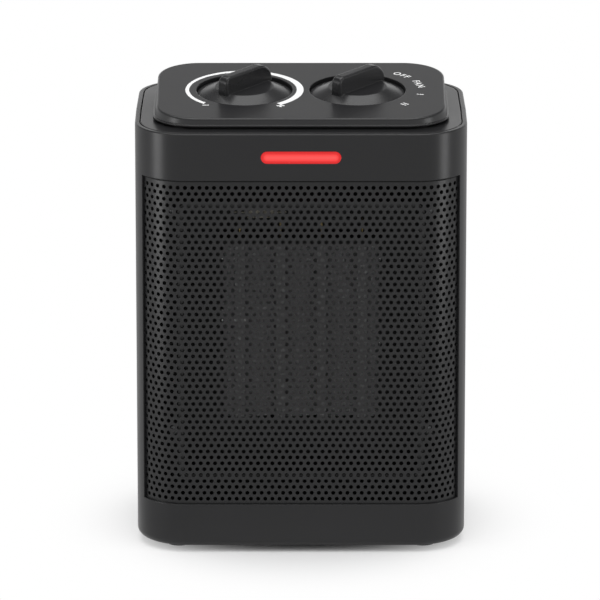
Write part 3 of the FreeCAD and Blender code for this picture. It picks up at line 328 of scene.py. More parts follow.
def perforated_sheet_tree(material):
    """Flat staggered sheet of hexagon cells, some with a hole, thickened and then bent."""
    tree = bpy.data.node_groups.new("perforated_sheet", "GeometryNodeTree")
    names = ("Pitch", "Hole Diameter", "Hole Reach", "Hole Rows", "Rows Middle", "Thickness",
             "Bend Radius", "Bend X", "Bend Y", "Half Width", "Low", "High")
    size = tree_inputs(tree, *names)
    put, sum_of = node_maker(tree)
    row_pitch = sum_of("MULTIPLY", size["Pitch"], math.sqrt(3.0) / 2.0)
    apothem = sum_of("MULTIPLY", size["Pitch"], 0.5)
    columns, rows = 49, 57
    lattice = put("GeometryNodeMeshGrid", i0=sum_of("MULTIPLY", size["Pitch"], columns - 1.0),
                  i1=sum_of("MULTIPLY", row_pitch, rows - 1.0), i2=columns, i3=rows)
    place = put("GeometryNodeInputPosition").outputs[0]
    split = put("ShaderNodeSeparateXYZ", i0=place)
    row = sum_of("ROUND", sum_of("DIVIDE", split.outputs[1], row_pitch))
    odd = sum_of("MODULO", sum_of("ABSOLUTE", row), 2.0)
    across = sum_of("ADD", split.outputs[0], sum_of("MULTIPLY", odd, apothem))
    upright = put("ShaderNodeCombineXYZ", i0=across, i1=0.0,
                  i2=sum_of("ADD", split.outputs[1], size["Rows Middle"]))
    lattice = put("GeometryNodeSetPosition", i0=lattice.outputs[0], Position=upright.outputs[0])
    # A row counts from the middle one, and a hole keeps its distance from the sheet's edges.
    spot = put("ShaderNodeSeparateXYZ", i0=place)
    off_rows = sum_of("ABSOLUTE", sum_of("SUBTRACT", spot.outputs[2], size["Rows Middle"]))
    half_rows = sum_of("MULTIPLY", sum_of("MULTIPLY", size["Hole Rows"], 0.5), row_pitch)
    in_rows = sum_of("LESS_THAN", off_rows, half_rows)
    in_reach = sum_of("LESS_THAN", sum_of("ABSOLUTE", spot.outputs[0]), size["Hole Reach"])
    punched = sum_of("MULTIPLY", in_rows, in_reach)
    blank = sum_of("SUBTRACT", 1.0, punched)

    def hexagon(fill):
        ring = put("GeometryNodeMeshCircle", {"fill_type": fill}, Vertices=12,
                   Radius=sum_of("MULTIPLY", size["Hole Diameter"], 0.5))
        even = sum_of("MODULO", put("GeometryNodeInputIndex").outputs[0], 2.0)
        reach = sum_of("DIVIDE", apothem, sum_of("MULTIPLY", size["Hole Diameter"], 0.5))
        reach = sum_of("MULTIPLY", reach, sum_of("ADD", 1.0, sum_of(
            "MULTIPLY", even, 1.0 / math.cos(math.pi / 6) - 1.0)))
        grow = put("ShaderNodeVectorMath", {"operation": "SCALE"},
                   i0=put("GeometryNodeInputPosition").outputs[0], Scale=reach)
        shape = ring.outputs[0]
        chosen = True
        if fill == "NONE":
            skirt = put("GeometryNodeExtrudeMesh", {"mode": "EDGES"}, Mesh=shape)
            skirt.inputs["Offset Scale"].default_value = 0.0
            shape, chosen = skirt.outputs[0], skirt.outputs["Top"]
        wide = put("GeometryNodeSetPosition", i0=shape, Selection=chosen, Position=grow.outputs[0])
        return put("GeometryNodeTransform", i0=wide.outputs[0], Rotation=(math.pi / 2, 0.0, 0.0))

    cells = put("GeometryNodeJoinGeometry")
    for fill, chosen in (("NONE", punched), ("NGON", blank)):
        copies = put("GeometryNodeInstanceOnPoints", Points=lattice.outputs[0], Selection=chosen,
                     Instance=hexagon(fill).outputs[0])
        tree.links.new(copies.outputs[0], cells.inputs[0])
    flat = put("GeometryNodeRealizeInstances", i0=cells.outputs[0])
    edge = put("ShaderNodeSeparateXYZ", i0=place)
    inside = put("ShaderNodeCombineXYZ",
                 i0=sum_of("MAXIMUM", sum_of("MINIMUM", edge.outputs[0], size["Half Width"]),
                           sum_of("MULTIPLY", size["Half Width"], -1.0)),
                 i2=sum_of("MAXIMUM", sum_of("MINIMUM", edge.outputs[2], size["High"]),
                           size["Low"]))
    flat = put("GeometryNodeSetPosition", i0=flat.outputs[0], Position=inside.outputs[0])
    merged = put("GeometryNodeMergeByDistance", i0=flat.outputs[0], Distance=2e-5)
    tiny = put("FunctionNodeCompare", {"operation": "LESS_THAN"},
               i0=put("GeometryNodeInputMeshFaceArea").outputs[0], i1=1e-9)
    sheet = put("GeometryNodeDeleteGeometry", {"domain": "FACE"}, i0=merged.outputs[0],
                Selection=tiny.outputs[0])
    through = put("ShaderNodeCombineXYZ", i1=sum_of("MULTIPLY", size["Thickness"], -1.0))
    front = put("GeometryNodeExtrudeMesh", {"mode": "FACES"}, Mesh=sheet.outputs[0],
                Offset=through.outputs[0], Individual=False)
    back = put("GeometryNodeFlipFaces", i0=sheet.outputs[0])
    both = put("GeometryNodeJoinGeometry")
    tree.links.new(front.outputs[0], both.inputs[0])
    tree.links.new(back.outputs[0], both.inputs[0])
    closed = put("GeometryNodeMergeByDistance", i0=both.outputs[0], Distance=2e-5)
    # The bend: what lies past the flat front turns about the corner's upright axis.
    point = put("ShaderNodeSeparateXYZ", i0=place)
    depth = sum_of("ADD", point.outputs[1], sum_of("MULTIPLY", size["Thickness"], 0.5))
    radius = sum_of("SUBTRACT", size["Bend Radius"], depth)
    off_middle = sum_of("ABSOLUTE", point.outputs[0])
    past = sum_of("MAXIMUM", sum_of("SUBTRACT", off_middle, size["Bend X"]), 0.0)
    turn = sum_of("DIVIDE", past, size["Bend Radius"])
    straight = sum_of("MINIMUM", off_middle, size["Bend X"])
    out = sum_of("ADD", straight, sum_of("MULTIPLY", radius, sum_of("SINE", turn)))
    back_y = sum_of("SUBTRACT", size["Bend Y"], sum_of("MULTIPLY", radius, sum_of("COSINE", turn)))
    bent = put("ShaderNodeCombineXYZ", i0=sum_of("MULTIPLY", out, sum_of("SIGN", point.outputs[0])),
               i1=back_y, i2=point.outputs[2])
    shaped = put("GeometryNodeSetPosition", i0=closed.outputs[0], Position=bent.outputs[0])
    finish = put("GeometryNodeSetMaterial", i0=shaped.outputs[0])
    finish.inputs["Material"].default_value = material
    put("NodeGroupOutput", i0=finish.outputs[0])
    return tree


def coated_steel(name, colour, roughness):
    """Powder coat on steel, with painted shade along the sheet's top: near black and matt just
    below its opening's edge.
    """
    material = moulded_plastic(name, colour, roughness, grain=0.6, spread=0.04, bevel=0.00015)
    tree = material.node_tree
    shader = tree.nodes["Principled BSDF"]
    put = node_maker(tree)[0]
    spot = put("ShaderNodeSeparateXYZ", i0=put("ShaderNodeTexCoord").outputs["Object"])
    # Painted shade: just below the opening's top edge the coat turns near black and matt, standing
    # for the shadow that the band casts on the sheet.
    painted_shade = put("ShaderNodeMapRange", {"interpolation_type": "SMOOTHSTEP"}, Value=spot.outputs[2],
               From_Min=grille_top - shade_band_height, From_Max=grille_top - shade_band_height / 2)
    for socket, value in (("Base Color", (0.001, 0.001, 0.001, 1.0)), ("Roughness", 0.95)):
        usual = shader.inputs[socket].links[0].from_socket
        kind = {"data_type": "RGBA" if socket == "Base Color" else "FLOAT"}
        blend = put("ShaderNodeMix", kind)
        ends = blend.inputs[6:8] if socket == "Base Color" else blend.inputs[2:4]
        tree.links.new(painted_shade.outputs["Result"], blend.inputs[0])
        tree.links.new(usual, ends[0])
        ends[1].default_value = value
        tree.links.new(blend.outputs[2 if socket == "Base Color" else 0], shader.inputs[socket])
    return material


grille_coat = coated_steel("grille_coat", (0.0105, 0.0105, 0.0112), 0.33)
perforated = grown(
    "front_grille_perforated",
    perforated_sheet_tree(grille_coat),
    {
        "Pitch": hole_pitch, "Hole Diameter": hole_diameter, "Hole Reach": hole_reach,
        "Hole Rows": float(hole_rows), "Rows Middle": hole_rows_middle,
        "Thickness": sheet_thickness, "Bend Radius": sheet_bend_radius,
        "Bend X": sheet_bend_x, "Bend Y": sheet_bend_y,
        "Half Width": sheet_bend_x + sheet_bend_radius * sheet_wrap,
        "Low": sheet_low, "High": sheet_high,
    },
    grille_coat,
)
perforated.data.polygons.foreach_set("use_smooth", [True] * len(perforated.data.polygons))
perforated.data.set_sharp_from_angle(angle=math.radians(40.0))
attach(perforated, "housing")
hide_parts("front_grille")
paint(grille_coat, "front_grille")

# ---------------------------------------------------------------- control panel
# Black ABS cap that slopes down to the front, screwed to the cover from below. Its marks are
# pad printed in white: a widening ring for heat, and the four places of the mode knob.
knob_half_spacing = 0.030
panel_slope = math.radians(4.6)
panel_spot = Vector((0.0, 0.0006, 0.2391 + 0.0006 * math.tan(panel_slope)))
ink_top = 0.00004
ink_foot = -0.00002
ring_outer = 0.0314
ring_inner = 0.0286
ring_shift = -0.00084
ring_start = math.radians(-51.0)
ring_end = math.radians(227.0)
label_radius = 0.0338
label_size = 0.0056
label_spacing = 1.2
minus_mark = (-0.0203, -0.0252, 0.0034, 0.0009)     # place, length and width
plus_mark = (0.0192, -0.0262, 0.0042, 0.0012)
mode_places = {"OFF": 45.6, "FAN": 16.2, "I": -13.0, "II": -43.6}
ring_steps = 96

panel_plastic = moulded_plastic("panel_plastic", (0.0145, 0.0145, 0.0155), 0.30, grain=0.8)
paint(panel_plastic, "control_panel")
ink_white, ink_tree, ink_shader = new_material("print_white", (0.82, 0.82, 0.82), 0.45)
ink_noise = ink_tree.nodes.new("ShaderNodeTexNoise")
ink_place = ink_tree.nodes.new("ShaderNodeTexCoord")
ink_noise.inputs["Scale"].default_value = 900.0
ink_range = ink_tree.nodes.new("ShaderNodeMapRange")
ink_range.inputs["To Min"].default_value = 0.38
ink_range.inputs["To Max"].default_value = 0.52
ink_tree.links.new(ink_place.outputs["Object"], ink_noise.inputs["Vector"])
ink_tree.links.new(ink_noise.outputs["Fac"], ink_range.inputs["Value"])
ink_tree.links.new(ink_range.outputs["Result"], ink_shader.inputs["Roughness"])


def panel_place(side):
    """Matrix from a knob's own frame, its third axis along the panel's normal."""
    return Matrix.Translation(panel_spot + Vector((side * knob_half_spacing, 0.0, 0.0))) @ (
        Matrix.Rotation(panel_slope, 4, "X")
    )


def slab(left, right, place):
    """Thin closed strip of ink between its two edges, lists of points in the panel's plane."""
    mesh = bmesh.new()
    rails = [
        [mesh.verts.new((x, y, z)) for x, y in edge]
        for edge, z in ((left, ink_foot), (left, ink_top), (right, ink_top), (right, ink_foot))
    ]
    for first, second in zip(rails, rails[1:] + rails[:1]):
        for i in range(len(left) - 1):
            mesh.faces.new((first[i], first[i + 1], second[i + 1], second[i]))
    for end in (0, -1):
        mesh.faces.new([rail[end] for rail in rails])
    bmesh.ops.recalc_face_normals(mesh, faces=mesh.faces)
    mesh.transform(place)
    return mesh


def dash(x, y, length, width, place, upright=False):
    """Straight mark, centred."""
    ends = [(-length / 2, side * width / 2) for side in (-1, 1)]
    edges = [[(u, v), (-u, v)] for u, v in ends]
    if upright:
        edges = [[(v, u) for u, v in edge] for edge in edges]
    return slab(*([(x + u, y + v) for u, v in edge] for edge in edges), place)


def printed(text, angle):
    """Mesh of a word that reads outwards from the mode knob, at an angle round it."""
    curve = bpy.data.curves.new("word", "FONT")
    curve.body = text
    curve.size = label_size
    curve.space_character = label_spacing
    curve.align_x = "CENTER"
    curve.align_y = "CENTER"
    curve.resolution_u = 3
    curve.extrude = (ink_top - ink_foot) / 2
    curve.offset = 0.00006
    word = bpy.data.objects.new("word", curve)
    flat = bpy.data.meshes.new_from_object(word)
    bpy.data.objects.remove(word)
    mesh = bmesh.new()
    mesh.from_mesh(flat)
    bmesh.ops.remove_doubles(mesh, verts=mesh.verts, dist=1e-7)
    turn = Matrix.Rotation(angle - math.pi / 2, 4, "Z")
    spot = Vector((label_radius * math.cos(angle), label_radius * math.sin(angle),
                   (ink_top + ink_foot) / 2))
    mesh.transform(panel_place(1) @ Matrix.Translation(spot) @ turn)
    return mesh


def joined(name, meshes, material):
    """One object of several bmesh parts."""
    whole = bmesh.new()
    for part in meshes:
        mesh = bpy.data.meshes.new("part")
        part.to_mesh(mesh)
        part.free()
        whole.from_mesh(mesh)
        bpy.data.meshes.remove(mesh)
    data = bpy.data.meshes.new(name)
    whole.to_mesh(data)
    whole.free()
    data.materials.append(material)
    piece = bpy.data.objects.new(name, data)
    scene.collection.objects.link(piece)
    return piece


ring_step = (ring_end - ring_start) / ring_steps
turns = [ring_start + ring_step * i for i in range(ring_steps + 1)]
outside = [(ring_outer * math.cos(a), ring_outer * math.sin(a)) for a in turns]
inside = [(ring_shift + ring_inner * math.cos(a), ring_inner * math.sin(a)) for a in turns]
heat_marks = joined("heat_marks", [
    slab(outside, inside, panel_place(-1)),
    dash(*minus_mark, panel_place(-1)),
    dash(*plus_mark, panel_place(-1)),
    dash(*plus_mark, panel_place(-1), True),
], ink_white)
mode_marks = joined("mode_marks", [
    printed(text, math.radians(angle)) for text, angle in mode_places.items()
], ink_white)
for marks in (heat_marks, mode_marks):
    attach(marks, "housing")

# ---------------------------------------------------------------- knobs and controls
# Two ABS knobs with a bar grip, pushed on flatted steel spindles. Below the panel hang the
# thermostat and the rotary switch, phenolic cases with tin plated blades.
knob_plastic = moulded_plastic("knob_plastic", (0.0150, 0.0150, 0.0160), 0.27, grain=0.4)
paint(knob_plastic, "thermostat_knob", "mode_knob")


def turned_steel(name, colour, roughness, ring_scale=900.0, metallic=1.0):
    """Bright metal with fine tool or draw marks in its roughness and normal."""
    material, tree, shader = new_material(name, colour, roughness, metallic)
    put = node_maker(tree)[0]
    place = put("ShaderNodeTexCoord")
    marks = put("ShaderNodeTexNoise", Vector=place.outputs["Object"], Scale=ring_scale, Detail=4.0)
    stain = put("ShaderNodeTexNoise", Vector=place.outputs["Object"], Scale=60.0, Detail=4.0)
    rough = put("ShaderNodeMapRange", Value=stain.outputs["Fac"], To_Min=roughness - 0.08,
                To_Max=roughness + 0.12)
    tint = tinted(put, stain.outputs["Fac"], colour, 0.8, 1.1)
    soft = put("ShaderNodeBevel", {"samples": 4}, Radius=0.00015)
    bump = put("ShaderNodeBump", Distance=0.00001, Height=marks.outputs["Fac"],
               Normal=soft.outputs["Normal"])
    tree.links.new(rough.outputs["Result"], shader.inputs["Roughness"])
    tree.links.new(tint, shader.inputs["Base Color"])
    tree.links.new(bump.outputs["Normal"], shader.inputs["Normal"])
    return material


zinc_steel = turned_steel("zinc_steel", (0.56, 0.57, 0.58), 0.32)
black_resin = moulded_plastic("black_resin", (0.020, 0.020, 0.020), 0.38, grain=0.5)
paint(zinc_steel, "thermostat_spindle", "mode_spindle")
paint(black_resin, "thermostat_body", "mode_switch_body")

# ---------------------------------------------------------------- indicator
# Red polycarbonate window snapped in the front wall. Three lamps on a small board shine on its
# back from a white cup, so it glows most along its middle.
lens_middle_z = 0.2174
lens_half_length = 0.0210
lens_half_height = 0.00325
glow_core = (1.0, 0.080, 0.075, 1.0)
glow_rim = (0.42, 0.002, 0.003, 1.0)
glow_strength = 0.98

red_lens, lens_tree, lens_shader = new_material("red_lens", (0.30, 0.006, 0.006), 0.25)
put, sum_of = node_maker(lens_tree)
spot = put("ShaderNodeSeparateXYZ", i0=put("ShaderNodeTexCoord").outputs["Object"])
straight = lens_half_length - lens_half_height
along = sum_of("MAXIMUM", sum_of("SUBTRACT", sum_of("ABSOLUTE", spot.outputs[0]), straight), 0.0)
height = sum_of("SUBTRACT", spot.outputs[2], lens_middle_z)
far = sum_of("SQRT", sum_of("MULTIPLY_ADD", along, along, sum_of("MULTIPLY", height, height)))
glow = put("ShaderNodeMapRange", {"interpolation_type": "SMOOTHSTEP"}, Value=far,
           From_Min=lens_half_height, From_Max=0.0)
flicker = put("ShaderNodeTexNoise", Vector=lens_tree.nodes["Texture Coordinate"].outputs["Object"],
              Scale=420.0)
core = sum_of("POWER", glow.outputs["Result"], 1.4)
tone = put("ShaderNodeMix", {"data_type": "RGBA"}, i0=core, i6=glow_rim, i7=glow_core)
lens_tree.links.new(tone.outputs[2], lens_shader.inputs["Emission Color"])
lens_shader.inputs["Emission Strength"].default_value = glow_strength
lens_rough = put("ShaderNodeMapRange", Value=flicker.outputs["Fac"], To_Min=0.2, To_Max=0.3)
lens_tree.links.new(lens_rough.outputs["Result"], lens_shader.inputs["Roughness"])
paint(red_lens, "indicator_lens")

white_plastic = moulded_plastic("white_plastic", (0.72, 0.71, 0.68), 0.42, grain=0.5)
board_resin = moulded_plastic("board_resin", (0.03, 0.16, 0.07), 0.35, grain=0.5)
paint(white_plastic, "lamp_holder")
paint(board_resin, "lamp_board")

# ---------------------------------------------------------------- duct and heating block
# Four aluminium tubes hold ceramic stones that heat themselves, with folded fins brazed between
# them. A frame of glass filled resin carries the block at the back of a duct to the grille.
heat_resin = moulded_plastic("heat_resin", (0.016, 0.016, 0.016), 0.5, grain=1.3)
fin_aluminium = turned_steel("fin_aluminium", (0.78, 0.78, 0.79), 0.50, 500.0, 0.35)
tube_aluminium = turned_steel("tube_aluminium", (0.42, 0.42, 0.425), 0.55, 700.0, 0.6)
stone_ceramic = moulded_plastic("stone_ceramic", (0.62, 0.58, 0.50), 0.7, grain=2.0)
tin_brass = turned_steel("tin_brass", (0.66, 0.52, 0.26), 0.3)
paint(heat_resin, "air_duct", "heater_frame")
paint(tube_aluminium, "ptc_tubes")
paint(stone_ceramic, "ptc_stones", "thermal_fuse")
paint(tin_brass, "heater_terminals")
paint(black_resin, "thermal_cutoff")

fin_fold = 0.0019            # pitch of the folds
fin_sheet = 0.0002
fin_side_gap = 0.0003


def folded_fins_tree(material):
    """Zigzag strip on each point, as wide as the point says, drawn out in depth and thickened."""
    tree = bpy.data.node_groups.new("folded_fins", "GeometryNodeTree")
    tree.interface.new_socket("Places", in_out="INPUT", socket_type="NodeSocketGeometry")
    size = tree_inputs(tree, "Fold", "Sheet", "Depth", "Height")
    put, sum_of = node_maker(tree)
    step = sum_of("MULTIPLY", size["Fold"], 0.5)
    count = sum_of("FLOOR", sum_of("DIVIDE", size["Height"], step))
    rise = put("ShaderNodeCombineXYZ", i2=step)
    foot = put("ShaderNodeCombineXYZ", i2=sum_of("MULTIPLY", sum_of("MULTIPLY", count, step), -0.5))
    line = put("GeometryNodeMeshLine", {"mode": "OFFSET"}, Count=sum_of("ADD", count, 1.0),
               Start_Location=foot.outputs[0], Offset=rise.outputs[0])
    side = sum_of("SUBTRACT", sum_of("MODULO", put("GeometryNodeInputIndex").outputs[0], 2.0), 0.5)
    swing = put("ShaderNodeCombineXYZ", i0=side)
    zigzag = put("GeometryNodeSetPosition", i0=line.outputs[0], Offset=swing.outputs[0])
    width = put("GeometryNodeInputNamedAttribute", {"data_type": "FLOAT_VECTOR"}, Name="width")
    copies = put("GeometryNodeInstanceOnPoints", Points=size["Places"], Instance=zigzag.outputs[0])
    tree.links.new(width.outputs[0], copies.inputs["Scale"])
    real = put("GeometryNodeRealizeInstances", i0=copies.outputs[0])
    deep = put("ShaderNodeCombineXYZ", i1=size["Depth"])
    strip = put("GeometryNodeExtrudeMesh", {"mode": "EDGES"}, Mesh=real.outputs[0],
                Offset=deep.outputs[0])
    thick = put("GeometryNodeExtrudeMesh", {"mode": "FACES"}, Mesh=strip.outputs[0],
                Individual=False)
    tree.links.new(size["Sheet"], thick.inputs["Offset Scale"])
    back = put("GeometryNodeFlipFaces", i0=strip.outputs[0])
    both = put("GeometryNodeJoinGeometry")
    tree.links.new(thick.outputs[0], both.inputs[0])
    tree.links.new(back.outputs[0], both.inputs[0])
    closed = put("GeometryNodeMergeByDistance", i0=both.outputs[0], Distance=1e-6)
    finish = put("GeometryNodeSetMaterial", i0=closed.outputs[0])
    finish.inputs["Material"].default_value = material
    put("NodeGroupOutput", i0=finish.outputs[0])
    return tree


def islands(name):
    """Loose solids of a CAD node, each a list of points."""
    mesh = bmesh.new()
    mesh.from_mesh(nodes[name].data)
    bmesh.ops.remove_doubles(mesh, verts=mesh.verts, dist=1e-6)
    waiting = set(mesh.verts)
    found = []
    for start in list(mesh.verts):
        if start not in waiting:
            continue
        waiting.remove(start)
        front = [start]
        points = []
        while front:
            vertex = front.pop()
            points.append(vertex.co.copy())
            for edge in vertex.link_edges:
                other = edge.other_vert(vertex)
                if other in waiting:
                    waiting.remove(other)
                    front.append(other)
        found.append(points)
    mesh.free()
    return found


def corners(points):
    """Lowest and highest corner of a list of points."""
    return (Vector(min(p[i] for p in points) for i in range(3)),
            Vector(max(p[i] for p in points) for i in range(3)))


fin_boxes = [corners(points) for points in islands("heater_fins")]
fin_low, fin_high = fin_boxes[0]
places = bpy.data.meshes.new("fin_places")
spots = [((low.x + high.x) / 2, low.y, (low.z + high.z) / 2) for low, high in fin_boxes]
places.from_pydata(spots, [], [])
width = places.attributes.new("width", "FLOAT_VECTOR", "POINT")
for i, (low, high) in enumerate(fin_boxes):
    width.data[i].vector = (high.x - low.x - 2 * fin_side_gap, 1.0, 1.0)
folded_fins = grown(
    "heater_fins_folded",
    folded_fins_tree(fin_aluminium),
    {"Fold": fin_fold, "Sheet": fin_sheet, "Depth": fin_high.y - fin_low.y,
     "Height": fin_high.z - fin_low.z - fin_fold},
    fin_aluminium,
    places,
)
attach(folded_fins, "housing")
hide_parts("heater_fins")
paint(fin_aluminium, "heater_fins")

# ---------------------------------------------------------------- fan and motor
# A seven bladed axial impeller in a ring, on the shaft of a shaded pole motor: a stack of
# silicon steel sheets, one taped coil, a caged rotor and two brackets with sintered bushes.
impeller_plastic = moulded_plastic("impeller_plastic", (0.030, 0.030, 0.031), 0.45, grain=0.8)
paint(heat_resin, "fan_shroud", "motor_mount")
paint(impeller_plastic, "impeller")


def banded(name, colour, roughness, metallic, direction, scale, height):
    """Finish with fine even bands along one direction, such as stacked sheets or wound tape."""
    material, tree, shader = new_material(name, colour, roughness, metallic)
    put = node_maker(tree)[0]
    place = put("ShaderNodeTexCoord").outputs["Object"]
    bands = put("ShaderNodeTexWave", {"bands_direction": direction}, Vector=place, Scale=scale,
                Distortion=0.4, Detail=2.0)
    stain = put("ShaderNodeTexNoise", Vector=place, Scale=80.0, Detail=4.0)
    tint = tinted(put, stain.outputs["Fac"], colour, 0.75, 1.15)
    rough = put("ShaderNodeMapRange", Value=stain.outputs["Fac"], To_Min=roughness - 0.07,
                To_Max=roughness + 0.1)
    bump = put("ShaderNodeBump", Distance=height, Height=bands.outputs["Fac"])
    tree.links.new(tint, shader.inputs["Base Color"])
    tree.links.new(rough.outputs["Result"], shader.inputs["Roughness"])
    tree.links.new(bump.outputs["Normal"], shader.inputs["Normal"])
    return material


# A wave's band is a twentieth of its scale's inverse, in units of the coordinates.
lamination = banded("lamination", (0.33, 0.33, 0.35), 0.42, 0.9, "Y", 628.0, 0.00012)
winding = banded("winding", (0.42, 0.16, 0.05), 0.40, 0.0, "X", 420.0, 0.00015)
bronze = turned_steel("bronze", (0.50, 0.34, 0.17), 0.42)
bracket_aluminium = turned_steel("bracket_aluminium", (0.60, 0.60, 0.62), 0.45, 400.0)
paint(lamination, "stator_core", "rotor_core")
paint(winding, "stator_coil")
paint(bronze, "bearings")
paint(zinc_steel, "motor_shaft")
paint(bracket_aluminium, "bearing_bracket_front", "bearing_bracket_rear")

# ---------------------------------------------------------------- rear fittings
# A slotted inlet grille and the carrying cup are mouldings pushed in the rear wall from inside.
# An open nylon mesh lies behind the grille against dust, and a rubber bush takes the lead.
paint(casing_plastic, "rear_grille", "grip_insert")


def woven_mesh(name, colour, roughness, pitch):
    """Open weave: crossing threads, with nothing between them."""
    material, tree, shader = new_material(name, colour, roughness)
    put, sum_of = node_maker(tree)
    spot = put("ShaderNodeSeparateXYZ", i0=put("ShaderNodeTexCoord").outputs["Object"])
    threads = []
    for axis in (0, 2):
        phase = sum_of("MULTIPLY", spot.outputs[axis], math.pi / pitch)
        threads.append(sum_of("ABSOLUTE", sum_of("SINE", phase)))
    least = sum_of("MINIMUM", threads[0], threads[1])
    thread = put("ShaderNodeMapRange", Value=least, From_Min=0.55, From_Max=0.45)
    # Painted shading: each thread is lighter along its middle and darker towards its edges,
    # following its bump's height.
    tint = tinted(put, least, colour, 1.4, 0.6)
    bump = put("ShaderNodeBump", Distance=0.0002, Height=sum_of("SUBTRACT", 1.0, least))
    tree.links.new(thread.outputs["Result"], shader.inputs["Alpha"])
    tree.links.new(tint, shader.inputs["Base Color"])
    tree.links.new(bump.outputs["Normal"], shader.inputs["Normal"])
    return material


filter_mesh = woven_mesh("filter_mesh", (0.05, 0.05, 0.05), 0.6, 0.0014)
rubber = moulded_plastic("rubber", (0.018, 0.018, 0.018), 0.68, grain=1.6, spread=0.05)
paint(filter_mesh, "inlet_filter")
paint(rubber, "cord_bush", "rubber_feet")

# ---------------------------------------------------------------- screws
# Zinc plated pan head screws with a cross recess, cut for plastic. Four join the shells from
# behind; the others hold the panel, the controls, the duct, the fan and the motor.
recess_reach = 0.0016
recess_width = 0.0009
recess_depth = 0.0012
dome_share = 0.42           # of the head's height
screw_radius = 0.0015
screw_head_radius = 0.0029
screw_head_height = 0.0022
thread_pitch = 0.0012
thread_root = 0.78          # of the screw's radius
plain_neck = 0.0008
plain_tip = 0.0022


def screw_seats(name):
    """Top of each screw's head, with the way that it faces, its radii and its lengths."""
    seats = []
    for points in islands(name):
        low, high = corners(points)
        span = high - low
        way = Vector((0.0, 0.0, 0.0))
        axis = max(range(3), key=lambda i: span[i])
        way[axis] = 1.0
        if axis == 2 and name == "control_screws":
            way = Matrix.Rotation(panel_slope, 3, "X") @ way
        along = [p.dot(way) for p in points]
        ends = min(along), max(along)
        spread = []
        for end in ends:
            rim = [p for p, a in zip(points, along) if abs(a - end) < 1e-4]
            hub = sum(rim, Vector()) / len(rim)
            spread.append((max((p - hub).length for p in rim), hub, end))
        head = max(spread, key=lambda item: item[0])
        facing = 1.0 if head[2] == ends[1] else -1.0
        seats.append((head[1], way * facing, ends[1] - ends[0]))
    return seats


def screw_shape(length, radius, head_radius, head_height):
    """Screw along +Z with its head's top at zero: dished rim, cross recess, ridged shank."""
    mesh = bmesh.new()
    count = 24
    dome = head_height * dome_share

    def ring(r, z):
        return [mesh.verts.new((r * math.cos(2 * math.pi * i / count),
                                r * math.sin(2 * math.pi * i / count), z)) for i in range(count)]

    def band(above, below):
        for i in range(count):
            j = (i + 1) % count
            mesh.faces.new((above[i], below[i], below[j], above[j]))

    w, r = recess_width / 2, recess_reach
    cross = [(r, -w), (r, w), (w, w), (w, r), (-w, r), (-w, w), (-r, w), (-r, -w), (-w, -w),
             (-w, -r), (w, -r), (w, -w)]
    lip = [mesh.verts.new((x, y, 0.0)) for x, y in cross]
    pit = [mesh.verts.new((0.8 * x, 0.8 * y, -recess_depth)) for x, y in cross]
    for i in range(12):
        j = (i + 1) % 12
        mesh.faces.new((lip[i], lip[j], pit[j], pit[i]))
    mesh.faces.new(pit)
    crown = ring(0.72 * head_radius, 0.0)
    edges = [mesh.edges.new((crown[i], crown[(i + 1) % count])) for i in range(count)]
    edges += [mesh.edges.get((lip[i], lip[(i + 1) % 12])) for i in range(12)]
    bmesh.ops.triangle_fill(mesh, use_beauty=True, edges=edges)
    shoulder = ring(0.93 * head_radius, -0.35 * dome)
    rim = ring(head_radius, -dome)
    foot = ring(head_radius, -head_height)
    neck = ring(radius, -head_height)
    band(crown, shoulder)
    band(shoulder, rim)
    band(rim, foot)
    band(foot, neck)
    last = neck
    z = -head_height - plain_neck
    root = thread_root * radius
    while z > -length + plain_tip:
        for r, step in ((root, 0.0), (radius, 0.0005), (root, 0.0010)):
            nxt = ring(r, z - step)
            band(last, nxt)
            last = nxt
        z -= thread_pitch
    tip = ring(0.25 * radius, -length)
    band(last, tip)
    mesh.faces.new(tip[::-1])
    bmesh.ops.recalc_face_normals(mesh, faces=mesh.faces)
    data = bpy.data.meshes.new("screw_shape")
    mesh.to_mesh(data)
    mesh.free()
    return data


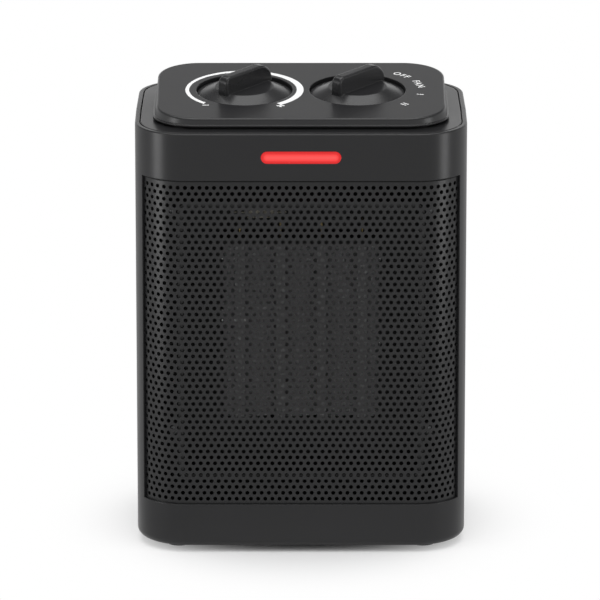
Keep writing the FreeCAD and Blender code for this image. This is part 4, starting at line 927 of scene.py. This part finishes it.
def screw_set_tree(pattern, material):
    """Sets a screw on each point, turned along the point's direction."""
    tree = bpy.data.node_groups.new("screw_set", "GeometryNodeTree")
    tree.interface.new_socket("Seats", in_out="INPUT", socket_type="NodeSocketGeometry")
    size = tree_inputs(tree, "Size")
    put = node_maker(tree)[0]
    one = put("GeometryNodeObjectInfo")
    one.inputs["Object"].default_value = pattern
    way = put("GeometryNodeInputNamedAttribute", {"data_type": "FLOAT_VECTOR"}, Name="facing")
    turn = put("FunctionNodeAlignRotationToVector", {"axis": "Z"}, Vector=way.outputs[0])
    copies = put("GeometryNodeInstanceOnPoints", Points=size["Seats"],
                 Instance=one.outputs["Geometry"], Rotation=turn.outputs[0])
    tree.links.new(size["Size"], copies.inputs["Scale"])
    real = put("GeometryNodeRealizeInstances", i0=copies.outputs[0])
    finish = put("GeometryNodeSetMaterial", i0=real.outputs[0])
    finish.inputs["Material"].default_value = material
    put("NodeGroupOutput", i0=finish.outputs[0])
    return tree


for name in ("shell_screws", "panel_screws", "control_screws", "duct_screws", "mount_screws",
             "motor_screws"):
    seats = screw_seats(name)
    pattern = bpy.data.objects.new("pattern", screw_shape(
        seats[0][2], screw_radius, screw_head_radius, screw_head_height))
    scene.collection.objects.link(pattern)
    points = bpy.data.meshes.new("seats")
    points.from_pydata([seat[0] for seat in seats], [], [])
    facing = points.attributes.new("facing", "FLOAT_VECTOR", "POINT")
    for i, seat in enumerate(seats):
        facing.data[i].vector = seat[1]
    screws = grown(name + "_cross", screw_set_tree(pattern, zinc_steel), {"Size": 1.0},
                   zinc_steel, points)
    bpy.data.objects.remove(pattern)
    screws.data.polygons.foreach_set("use_smooth", [True] * len(screws.data.polygons))
    screws.data.set_sharp_from_angle(angle=math.radians(35.0))
    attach(screws, "housing")
    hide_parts(name)
    paint(zinc_steel, name)

# ---------------------------------------------------------------- base
# Four rubber feet pushed in the floor. Near the left side a sprung nylon button rests on the
# table and holds a switch closed; when the heater tips over the switch opens.
paint(white_plastic, "tip_switch_housing", "tip_plunger", "terminal_block")
paint(black_resin, "tip_microswitch")
paint(zinc_steel, "tip_spring")
